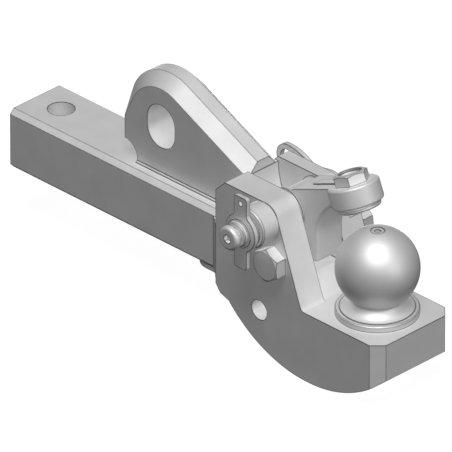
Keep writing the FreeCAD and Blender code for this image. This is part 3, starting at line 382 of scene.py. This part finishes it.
# Lug plate: a thick steel plate flame cut to shape, with bevelled rims and an oblong eye for a pin or
# hook. It stands on the bar behind the head and is welded down along its foot.
dress("lug_plate", forged)

# Lug welds: a fillet bead in one pass along each side of the lug plate's foot, of the same weld metal
# as the side welds.
LUG_WELD_PASSES = 1
LUG_WELD_DEPTH = 0.0005
lug_low, lug_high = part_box("lug_welds")
lug_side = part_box("lug_plate")[1].y
lug_weld_work = bmesh.new()
for side in (-1, 1):
    weld_run(lug_weld_work, Vector((lug_low.x, side * lug_side, lug_low.z)),
             Vector((0, side * (lug_high.y - lug_side), 0)), Vector((0, 0, lug_high.z - lug_low.z)),
             Vector((lug_high.x - lug_low.x, 0, 0)), LUG_WELD_PASSES, LUG_WELD_DEPTH)
finished("lug_weld_runs", closed_mesh("lug_weld_runs", lug_weld_work), weld_skin, "head",
         "lug_welds")

# Head: one steel forging with its base, its round belly and two upright cheeks. It is milled flat on the
# outside, bored for the cross pin and the stop bolt, and welded to the front of the bar.
dress("hitch_head", forged)

# Ball: steel, turned and polished in one piece with its flange and its shank, which is welded in from
# below. The flange has a flat lip round a hollow flare, and the crown a small flat with a drilling.
BALL_GREY = 0.48
BALL_GLOSS = 0.58
BALL_METAL = 0.6
BALL_GRAIN_DEPTH = 0.000004
BALL_MOTTLE = 0.02
BALL_CENTRE = Vector((0.417, 0, 0.0311))
BALL_RADIUS = 0.04
BASE_TOP = -0.0162
NECK_RADIUS = 0.025
NECK_HEIGHT = 0.0145
FLARE_RADIUS = 0.014
FLANGE_RADIUS = 0.04
FLANGE_HEIGHT = 0.006
FLANGE_EDGE = 0.001
LIP_INNER = 0.0355
LIP_STEP = 0.0006
CROWN_FLAT = 0.0065
CROWN_STEP = 0.0006
DRILL_RADIUS = 0.0028
DRILL_DEPTH = 0.009
SHANK_RADIUS = 0.02
SHANK_CHAMFER = 0.002
ball_skin = steel_finish("ball_skin", BALL_GREY, BALL_GLOSS, metal=BALL_METAL, grain_depth=BALL_GRAIN_DEPTH,
                         mottle=BALL_MOTTLE, turning=(BALL_CENTRE, (0, 0, 1)))


def arc(centre_x, centre_z, radius, start, stop, steps):
    """Points on an arc, with its angles in degrees."""
    turns = [math.radians(start + (stop - start) * step / steps) for step in range(steps + 1)]
    return [(centre_x + radius * math.cos(turn), centre_z + radius * math.sin(turn)) for turn in turns]


def lathe(centre, along, profile, segments=96, start=0):
    """A turned form about a line through the centre. The profile gives radius and height."""
    work = bmesh.new()
    along = Vector(along).normalized()
    side = along.orthogonal().normalized()
    front = along.cross(side)
    rows = []
    for radius, height in profile:
        middle = Vector(centre) + along * height
        if radius == 0:
            rows.append([work.verts.new(middle)])
            continue
        turns = [start + 2 * math.pi * index / segments for index in range(segments)]
        rows.append([work.verts.new(middle + (side * math.cos(turn) + front * math.sin(turn)) * radius)
                     for turn in turns])
    for lower, upper in zip(rows, rows[1:]):
        for index in range(segments):
            after = (index + 1) % segments
            if len(lower) == 1:
                work.faces.new((lower[0], upper[after], upper[index]))
            elif len(upper) == 1:
                work.faces.new((lower[index], lower[after], upper[0]))
            else:
                work.faces.new((lower[index], lower[after], upper[after], upper[index]))
    return work


# Heights are from the middle of the ball
shank_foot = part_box("ball_stud")[0].z - BALL_CENTRE.z
flange_foot = BASE_TOP - BALL_CENTRE.z
flange_top = flange_foot + FLANGE_HEIGHT
neck_end = -math.degrees(math.acos(NECK_RADIUS / BALL_RADIUS))
crown_end = math.degrees(math.acos(CROWN_FLAT / BALL_RADIUS))
crown_height = math.sqrt(BALL_RADIUS ** 2 - CROWN_FLAT ** 2)
flat_height = crown_height - CROWN_STEP
drill_foot = crown_height - DRILL_DEPTH
flare_low = Vector((LIP_INNER, flange_top + LIP_STEP))
flare_high = Vector((NECK_RADIUS, flange_foot + NECK_HEIGHT))
flare_chord = flare_high - flare_low
flare_out = Vector((flare_chord.y, -flare_chord.x)).normalized()
flare_rise = math.sqrt(FLARE_RADIUS ** 2 - flare_chord.length_squared / 4)
flare_centre = (flare_low + flare_high) / 2 + flare_out * flare_rise
flare_start = math.degrees(math.atan2(*(flare_low - flare_centre).yx)) % 360
flare_stop = math.degrees(math.atan2(*(flare_high - flare_centre).yx)) % 360
ball_profile = [(0, shank_foot), (SHANK_RADIUS - SHANK_CHAMFER, shank_foot),
                (SHANK_RADIUS, shank_foot + SHANK_CHAMFER), (SHANK_RADIUS, flange_foot),
                (FLANGE_RADIUS, flange_foot), (FLANGE_RADIUS, flange_top - FLANGE_EDGE),
                (FLANGE_RADIUS - FLANGE_EDGE, flange_top), (LIP_INNER, flange_top)]
ball_profile += arc(flare_centre.x, flare_centre.y, FLARE_RADIUS, flare_start, flare_stop, steps=14)
ball_profile += arc(0, 0, BALL_RADIUS, neck_end, crown_end, steps=64)
ball_profile += [(CROWN_FLAT, flat_height), (DRILL_RADIUS, flat_height), (DRILL_RADIUS, drill_foot),
                 (0, drill_foot - DRILL_RADIUS / 2)]
ball_work = lathe(BALL_CENTRE, (0, 0, 1), ball_profile, segments=160)
finished("turned_ball", closed_mesh("turned_ball", ball_work), ball_skin, "head", "ball_stud")
dress("shank_weld", weld_skin)

# Cross pin with its key, the boss that carries its near end and the two bushes in the cheeks. Pin and
# boss are turned steel, the key is steel bar, and the bushes are turned bronze, pressed in.
PIN_CENTRE = Vector((0.3182, 0, 0.0607))
PIN_ALONG = (0, 1, 0)
PIN_GREY = 0.5
PIN_GLOSS = 0.52
TURNED_DEPTH = 0.000006
BRONZE_GREY = 0.42
BRONZE_GLOSS = 0.45
pin_turned = steel_finish("pin_turned", PIN_GREY, PIN_GLOSS, grain_depth=TURNED_DEPTH,
                          turning=(PIN_CENTRE, PIN_ALONG))
bush_bronze = steel_finish("bush_bronze", BRONZE_GREY, BRONZE_GLOSS, grain_depth=TURNED_DEPTH,
                           turning=(PIN_CENTRE, PIN_ALONG))
for turned in ("pin_boss", "cross_pin", "pin_key"):
    dress(turned, pin_turned)
for bush in ("near_bush", "far_bush"):
    dress(bush, bush_bronze)

# Stop bolt: a large hexagon bolt of plain grey steel through both cheeks, with its washer and nut on the
# far side and a turned sleeve between the cheeks, on which the toe of the arm rests.
FASTENER_GREY = 0.5
FASTENER_GLOSS = 0.5
FASTENER_MOTTLE = 0.03
bolt_skin = steel_finish("bolt_skin", FASTENER_GREY, FASTENER_GLOSS, mottle=FASTENER_MOTTLE)
for fastener in ("stop_bolt", "stop_washer", "stop_nut", "stop_sleeve"):
    dress(fastener, bolt_skin)

# Thrust washers: hardened steel rings on the cross pin, loose between the hub of the arm and the cheeks.
# The near one is a little larger, and its rim shows beside the hub.
WASHER_BORE = 0.01254
WASHER_THICK = 0.002
NEAR_WASHER_RADIUS = 0.0215
FAR_WASHER_RADIUS = 0.0195
SAME_POINT = 0.00001


def rings_on_pin(name, sections):
    """The mesh of several rings about the cross pin, each from the corners of its section."""
    rings = bmesh.new()
    for section in sections:
        ring = lathe(PIN_CENTRE, PIN_ALONG, section + section[:1])
        bmesh.ops.remove_doubles(ring, verts=ring.verts, dist=SAME_POINT)
        ring_mesh = closed_mesh(name + "_one", ring)
        rings.from_mesh(ring_mesh)
        bpy.data.meshes.remove(ring_mesh)
    return closed_mesh(name, rings)


washer_low, washer_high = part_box("thrust_washers")
washer_sections = []
for outer, inside in ((NEAR_WASHER_RADIUS, washer_low.y), (FAR_WASHER_RADIUS, washer_high.y - WASHER_THICK)):
    washer_sections.append([(WASHER_BORE, inside), (outer, inside), (outer, inside + WASHER_THICK),
                            (WASHER_BORE, inside + WASHER_THICK)])
finished("washer_rings", rings_on_pin("washer_rings", washer_sections), pin_turned, "head",
         "thrust_washers")

# Hold-down arm: a steel casting with a hub on the cross pin, a toe that rests on the stop sleeve, a hollow
# throat with rounded rims and a ring whose axis points at the ball. A low rib runs along its top.
CAST_GREY = 0.48
CAST_GLOSS = 0.58
CAST_GRAIN = 1400
CAST_GRAIN_DEPTH = 0.00004
CAST_MOTTLE = 0.05
HUB_RADIUS = 0.0178
ARM_SHOULDER = (0.0056, 0.0232)
ARM_HALF = 0.01785
PIN_RADIUS = 0.0125
STUD_RADIUS = 0.01005
SEAT = (0.0136, -0.0377)
SEAT_RADIUS = 0.0143
TOE_FACE = 0.0373
TOE_FOOT = -0.044
TOE_ROUND = 0.004
TOE_TOP = -0.02
THROAT_RADIUS = 0.0485
THROAT_ROUND = 0.0042
RING_TILT = math.radians(22.8)
RING_RADIUS = 0.025
RING_LOW = 0.0635
RING_HIGH = 0.084
RING_EDGE = 0.0022
RING_INSET = 0.017
LEAVES_HUB = 84
SEAT_LEAVES_HUB = -66
RIB_HALF = 0.006
RIB_HEIGHT = 0.0016
RIB_START = 0.049
RIB_END = 0.0195
RIB_ROOT = 0.01
OVERRUN = 0.01
cast_skin = steel_finish("cast_skin", CAST_GREY, CAST_GLOSS, grain=CAST_GRAIN, grain_depth=CAST_GRAIN_DEPTH,
                         mottle=CAST_MOTTLE)
ball_from_pin = (BALL_CENTRE.x - PIN_CENTRE.x, BALL_CENTRE.z - PIN_CENTRE.z)
ring_axis = Vector((-math.sin(RING_TILT), 0, math.cos(RING_TILT)))


def by_ring(along, across):
    """A point of the arm's side, by its distance from the ball up the ring's axis and across it."""
    return (ball_from_pin[0] - along * math.sin(RING_TILT) + across * math.cos(RING_TILT),
            ball_from_pin[1] + along * math.cos(RING_TILT) + across * math.sin(RING_TILT))


def arc_through(start, stop, radius, steps):
    """An arc from start to stop that bulges to the right of the way."""
    first, last = Vector(start), Vector(stop)
    chord = last - first
    left = Vector((-chord.y, chord.x)).normalized()
    centre = (first + last) / 2 + left * math.sqrt(radius ** 2 - chord.length_squared / 4)
    begin = math.degrees(math.atan2(first.y - centre.y, first.x - centre.x))
    end = math.degrees(math.atan2(last.y - centre.y, last.x - centre.x))
    return arc(centre.x, centre.y, radius, begin, end + 360 if end < begin else end, steps)


def plate(outline, half, rounded_sides=(), width=0):
    """An outline in the pin's XZ plane, drawn out to both sides. The rims of some sides are rounded."""
    work = bmesh.new()
    near = [work.verts.new((PIN_CENTRE.x + x, -half, PIN_CENTRE.z + z)) for x, z in outline]
    far = [work.verts.new((PIN_CENTRE.x + x, half, PIN_CENTRE.z + z)) for x, z in outline]
    count = len(outline)
    rims = []
    for index in range(count):
        after = (index + 1) % count
        side = work.faces.new((near[index], near[after], far[after], far[index]))
        if index in rounded_sides:
            rims += [edge for edge in side.edges if edge.verts[0].co.y * edge.verts[1].co.y > 0]
    work.faces.new(near)
    work.faces.new(far)
    bmesh.ops.recalc_face_normals(work, faces=work.faces)
    if rims:
        bmesh.ops.bevel(work, geom=rims, offset=width, segments=5, profile=0.5, affect="EDGES",
                        clamp_overlap=True)
    return work


def bar(radius, low, high):
    """The profile of a plain round bar."""
    return [(0, low), (radius, low), (radius, high), (0, high)]


def joined(name, base, others):
    """The mesh of a base with other closed forms added to it or cut out of it."""
    body = bpy.data.objects.new(name + "_body", closed_mesh(name, base))
    bpy.context.scene.collection.objects.link(body)
    tools = []
    for index, (work, operation) in enumerate(others):
        tool_name = f"{name}_tool_{index}"
        tool = bpy.data.objects.new(tool_name, closed_mesh(tool_name, work))
        bpy.context.scene.collection.objects.link(tool)
        tools.append(tool)
        step = body.modifiers.new("step", "BOOLEAN")
        step.operation = operation
        step.solver = "EXACT"
        step.object = tool
    bpy.context.view_layer.update()
    graph = bpy.context.evaluated_depsgraph_get()
    mesh = bpy.data.meshes.new_from_object(body.evaluated_get(graph))
    for used in tools + [body]:
        bpy.data.objects.remove(used)
    mesh.name = name
    return mesh


ring_rim = RING_LOW + RING_EDGE
throat_top = by_ring(ring_rim, -RING_INSET)
arm_outline = arc(0, 0, HUB_RADIUS, LEAVES_HUB, 360 + SEAT_LEAVES_HUB, steps=48)
arm_outline += arc(*SEAT, SEAT_RADIUS, 90, 0, steps=16)
arm_outline.append((SEAT[0] + SEAT_RADIUS, TOE_FOOT))
rim_start = len(arm_outline) - 1
arm_outline += arc(TOE_FACE - TOE_ROUND, TOE_FOOT + TOE_ROUND, TOE_ROUND, -90, 0, steps=6)
arm_outline += arc_through(throat_top, (TOE_FACE, TOE_TOP), THROAT_RADIUS, steps=20)[::-1]
rim_stop = len(arm_outline) - 1
arm_outline += [by_ring(ring_rim, 0), by_ring(RING_HIGH, 0), by_ring(RING_HIGH, -RING_INSET), ARM_SHOULDER]
arm_work = plate(arm_outline, ARM_HALF, range(rim_start, rim_stop), THROAT_ROUND)

rib_outline = [by_ring(RING_HIGH + RIB_HEIGHT, -RIB_START), by_ring(RING_HIGH + RIB_HEIGHT, -RIB_END),
               by_ring(RING_HIGH - RING_EDGE, -RIB_END), by_ring(RING_HIGH - RIB_ROOT, -RIB_START)]
ring_side = RING_RADIUS - RING_EDGE
ring_profile = [(0, RING_LOW)] + arc(ring_side, ring_rim, RING_EDGE, -90, 0, steps=5)
ring_profile += arc(ring_side, RING_HIGH - RING_EDGE, RING_EDGE, 0, 90, steps=5) + [(0, RING_HIGH)]
pin_bar = bar(PIN_RADIUS, -ARM_HALF - OVERRUN, ARM_HALF + OVERRUN)
stud_bar = bar(STUD_RADIUS, RING_LOW - OVERRUN, RING_HIGH + OVERRUN)
arm_mesh = joined("cast_arm", arm_work, [
    (lathe(BALL_CENTRE, ring_axis, ring_profile, segments=120), "UNION"),
    (plate(rib_outline, RIB_HALF), "UNION"),
    (lathe(PIN_CENTRE, PIN_ALONG, pin_bar), "DIFFERENCE"),
    (lathe(BALL_CENTRE, ring_axis, stud_bar), "DIFFERENCE"),
])
finished("cast_arm", arm_mesh, cast_skin, "arm", "hold_down_arm")

# Pressure pad: a thin round pad of turned steel with a shallow dish in its face. It hangs on the foot of
# the adjusting stud, close under the ring of the arm.
PAD_GREY = 0.5
PAD_GLOSS = 0.5
PAD_RADIUS = 0.0208
PAD_THICK = 0.0045
PAD_GAP = 0.0005
PAD_EDGE = 0.001
PAD_DISH = 0.016
PAD_DEEP = 0.001
pad_skin = steel_finish("pad_skin", PAD_GREY, PAD_GLOSS, grain_depth=TURNED_DEPTH,
                        turning=(BALL_CENTRE, tuple(ring_axis)))
pad_top = RING_LOW - PAD_GAP
pad_foot = pad_top - PAD_THICK
pad_profile = [(0, pad_foot + PAD_DEEP), (PAD_DISH - PAD_DEEP, pad_foot + PAD_DEEP), (PAD_DISH, pad_foot),
               (PAD_RADIUS - PAD_EDGE, pad_foot), (PAD_RADIUS, pad_foot + PAD_EDGE),
               (PAD_RADIUS, pad_top - PAD_EDGE), (PAD_RADIUS - PAD_EDGE, pad_top), (0, pad_top)]
pad_work = lathe(BALL_CENTRE, ring_axis, pad_profile, segments=120)
finished("turned_pad", closed_mesh("turned_pad", pad_work), pad_skin, "pad", "pressure_pad")

# Adjusting stud: a steel bar with a rolled thread through the ring and a hexagon socket in its top. It
# is turned with a key to set the pad, and the lock nut holds it.
STUD_OUTER = 0.01
STUD_TOP = 0.091
STUD_EDGE = 0.0012
THREAD_PITCH = 0.0025
THREAD_DEPTH = 0.0013
THREAD_FLANK = 1.15
SOCKET_FLATS = 0.008
SOCKET_DEPTH = 0.008


def threaded(centre, along, radius, start, stop, segments=60, steps=8):
    """A screw thread on a bar between two heights, with a hexagon socket in its upper end."""
    work = bmesh.new()
    along = Vector(along).normalized()
    side = along.orthogonal().normalized()
    front = along.cross(side)
    rows = []

    def add_row(height, radius_at):
        line = []
        for index in range(segments):
            turn = 2 * math.pi * index / segments
            out = side * math.cos(turn) + front * math.sin(turn)
            line.append(work.verts.new(Vector(centre) + along * height + out * radius_at(turn)))
        rows.append(line)

    def hexagon_radius(turn):
        return SOCKET_FLATS / 2 / math.cos((turn + math.pi / 6) % (math.pi / 3) - math.pi / 6)

    count = round((stop - start) / THREAD_PITCH * steps)
    for step in range(count + 1):
        height = start + (stop - start) * step / count
        into_end = max(0, STUD_EDGE - (stop - height)) + max(0, STUD_EDGE - (height - start))

        def thread_radius(turn):
            phase = (height / THREAD_PITCH - turn / (2 * math.pi)) % 1
            groove = THREAD_DEPTH * (1 - abs(2 * phase - 1)) * THREAD_FLANK
            return radius - max(min(groove, THREAD_DEPTH), into_end)

        add_row(height, thread_radius)
    add_row(stop, hexagon_radius)
    add_row(stop - SOCKET_DEPTH, hexagon_radius)
    for lower, upper in zip(rows, rows[1:]):
        for index in range(segments):
            after = (index + 1) % segments
            work.faces.new((lower[index], lower[after], upper[after], upper[index]))
    work.faces.new(rows[0])
    work.faces.new(rows[-1])
    return work


stud_mesh = closed_mesh("threaded_stud", threaded(BALL_CENTRE, ring_axis, STUD_OUTER, pad_top, STUD_TOP))
finished("threaded_stud", stud_mesh, bolt_skin, "stud", "adjusting_stud")

# Lock nut: a large steel hexagon nut on top of the ring, with turned-down corners and a counterbored
# mouth round the end of the stud.
NUT_FLATS = 0.03
NUT_HEIGHT = 0.0104
NUT_TURN = math.radians(25)
NUT_FACE = 0.95
NUT_CONE = math.radians(30)
NUT_SINK = 0.0001
NUT_MOUTH = 0.0112
MOUTH_DEEP = 0.0016
nut_top = RING_HIGH + NUT_HEIGHT
nut_foot = RING_HIGH - NUT_SINK
face_radius = NUT_FLATS / 2 * NUT_FACE
cone_low = nut_top - (NUT_FLATS - face_radius) * math.tan(NUT_CONE)
tool_foot = nut_foot - OVERRUN
cone_profile = [(0, tool_foot), (NUT_FLATS, tool_foot), (NUT_FLATS, cone_low), (face_radius, nut_top),
                (0, nut_top)]
mouth_profile = [(0, tool_foot), (STUD_RADIUS, tool_foot), (STUD_RADIUS, nut_top - MOUTH_DEEP),
                 (NUT_MOUTH, nut_top - MOUTH_DEEP), (NUT_MOUTH, nut_top + OVERRUN), (0, nut_top + OVERRUN)]
hexagon = bar(NUT_FLATS / math.sqrt(3), nut_foot, nut_top)
nut_work = lathe(BALL_CENTRE, ring_axis, hexagon, segments=6, start=NUT_TURN)
nut_mesh = joined("hexagon_nut", nut_work, [
    (lathe(BALL_CENTRE, ring_axis, cone_profile), "INTERSECT"),
    (lathe(BALL_CENTRE, ring_axis, mouth_profile), "DIFFERENCE"),
])
finished("hexagon_nut", nut_mesh, bolt_skin, "arm", "lock_nut")

# Disc springs: two cone-shaped washers of spring steel between the boss and the keeper plate, with
# their rims together. They flatten as the keeper plate is pressed in.
SPRING_RADIUS = 0.017
SPRING_THICK = 0.0013
SPRING_BORE = 0.0128
RIM_GAP_HALF = 0.0001
spring_low, spring_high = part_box("disc_springs")
stack_middle = (spring_low.y + spring_high.y) / 2
stack_half = (spring_high.y - spring_low.y) / 2
cones = []
for side in (-1, 1):
    from_middle = [(SPRING_BORE, stack_half), (SPRING_RADIUS, RIM_GAP_HALF + SPRING_THICK),
                   (SPRING_RADIUS, RIM_GAP_HALF), (SPRING_BORE, stack_half - SPRING_THICK)]
    cones.append([(radius, stack_middle + side * away) for radius, away in from_middle])
spring_discs = finished("spring_discs", rings_on_pin("spring_discs", cones), bolt_skin, "keeper",
                        "disc_springs")
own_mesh(spring_discs)

# Keeper plate: steel plate cut to a round middle with a tab above and below, filleted at their roots. It
# slides on the cross pin outside the springs and has a small lanyard hole in its upper tab.
TAB_HALF = 0.008
TAB_END = 0.038
TAB_ROUND = 0.0025
DISC_RADIUS = 0.019
ROOT_FILLET = 0.005
KEEPER_BORE = 0.013
TAB_HOLE = 0.0025
TAB_HOLE_UP = 0.031
keeper_low, keeper_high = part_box("keeper_plate")
# The fillet's centre stands off both the tab's side and the disc
fillet_x = TAB_HALF + ROOT_FILLET
fillet_z = math.sqrt((DISC_RADIUS + ROOT_FILLET) ** 2 - fillet_x ** 2)
touch = math.degrees(math.atan2(fillet_z, fillet_x))
quarter = arc(fillet_x, fillet_z, ROOT_FILLET, touch + 180, 180, steps=8)
quarter += arc(TAB_HALF - TAB_ROUND, TAB_END - TAB_ROUND, TAB_ROUND, 0, 90, steps=5)
keeper_outline = arc(0, 0, DISC_RADIUS, -touch, touch, steps=16) + quarter
keeper_outline += [(-x, z) for x, z in reversed(quarter)]
keeper_outline += arc(0, 0, DISC_RADIUS, 180 - touch, 180 + touch, steps=16)
keeper_outline += [(-x, -z) for x, z in quarter]
keeper_outline += [(x, -z) for x, z in reversed(quarter)]
keeper_half = (keeper_high.y - keeper_low.y) / 2
keeper_work = plate(keeper_outline, keeper_half)
bmesh.ops.translate(keeper_work, verts=keeper_work.verts, vec=(0, keeper_low.y + keeper_half, 0))
bmesh.ops.remove_doubles(keeper_work, verts=keeper_work.verts, dist=SAME_POINT)
keeper_cuts = []
for radius, up in ((KEEPER_BORE, 0), (TAB_HOLE, TAB_HOLE_UP)):
    hole = bar(radius, keeper_low.y - OVERRUN, keeper_high.y + OVERRUN)
    keeper_cuts.append((lathe(PIN_CENTRE + Vector((0, 0, up)), PIN_ALONG, hole, segments=64), "DIFFERENCE"))
keeper_mesh = joined("cut_keeper", keeper_work, keeper_cuts)
finished("cut_keeper", keeper_mesh, bolt_skin, "keeper", "keeper_plate")

# Retaining ring: an open ring of spring steel, snapped into the cross pin's groove with its gap below.
# It holds the keeper plate against the springs.
CLIP_GAP_HALF = 16
CLIP_INNER = 0.0115
clip_low, clip_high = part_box("retaining_ring")
clip_outer = (clip_high.x - clip_low.x) / 2
clip_section = [(CLIP_INNER, clip_low.y), (clip_outer, clip_low.y), (clip_outer, clip_high.y),
                (CLIP_INNER, clip_high.y)]
clip_work = bmesh.new()
clip_rows = []
for turn_x, turn_z in arc(0, 0, 1, CLIP_GAP_HALF - 90, 270 - CLIP_GAP_HALF, steps=60):
    clip_rows.append([clip_work.verts.new((PIN_CENTRE.x + turn_x * radius, y, PIN_CENTRE.z + turn_z * radius))
                      for radius, y in clip_section])
for before, after in zip(clip_rows, clip_rows[1:]):
    for index in range(len(clip_section)):
        following = (index + 1) % len(clip_section)
        clip_work.faces.new((before[index], before[following], after[following], after[index]))
clip_work.faces.new(clip_rows[0])
clip_work.faces.new(clip_rows[-1])
finished("open_clip", closed_mesh("open_clip", clip_work), bolt_skin, "arm",
         "retaining_ring")

# End screw: a steel cap screw in the near end of the cross pin. Its head is low with a rounded rim and a
# hexagon socket, and stands on a thick waist.
SCREW_HEAD = 0.012
SCREW_RIM = 0.003
SCREW_EDGE = 0.001
SCREW_WAIST = 0.008
WAIST_LENGTH = 0.004
SCREW_THREAD = 0.006
SCREW_SOCKET_DEPTH = 0.005
screw_low, screw_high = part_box("end_screw")
screw_face = screw_low.y
pin_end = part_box("cross_pin")[0].y
head_back = pin_end - WAIST_LENGTH
screw_profile = [(0, screw_face)]
screw_profile += arc(SCREW_HEAD - SCREW_RIM, screw_face + SCREW_RIM, SCREW_RIM, -90, 0, steps=8)
screw_profile += [(SCREW_HEAD, head_back - SCREW_EDGE), (SCREW_HEAD - SCREW_EDGE, head_back),
                  (SCREW_WAIST, head_back), (SCREW_WAIST, pin_end), (SCREW_THREAD, pin_end),
                  (SCREW_THREAD, screw_high.y), (0, screw_high.y)]
socket = bar(SOCKET_FLATS / math.sqrt(3), screw_face - OVERRUN, screw_face + SCREW_SOCKET_DEPTH)
screw_mesh = joined("cap_screw", lathe(PIN_CENTRE, PIN_ALONG, screw_profile), [
    (lathe(PIN_CENTRE, PIN_ALONG, socket, segments=6), "DIFFERENCE"),
])
finished("cap_screw", screw_mesh, bolt_skin, "arm", "end_screw")

# Lever: a flat steel arm with an eye, on the flatted far end of the cross pin. A washer and a hexagon
# screw hold it there, and a pull on its eye swings the hold-down arm.
for part in ("lever", "lever_washer", "lever_screw"):
    dress(part, bolt_skin)
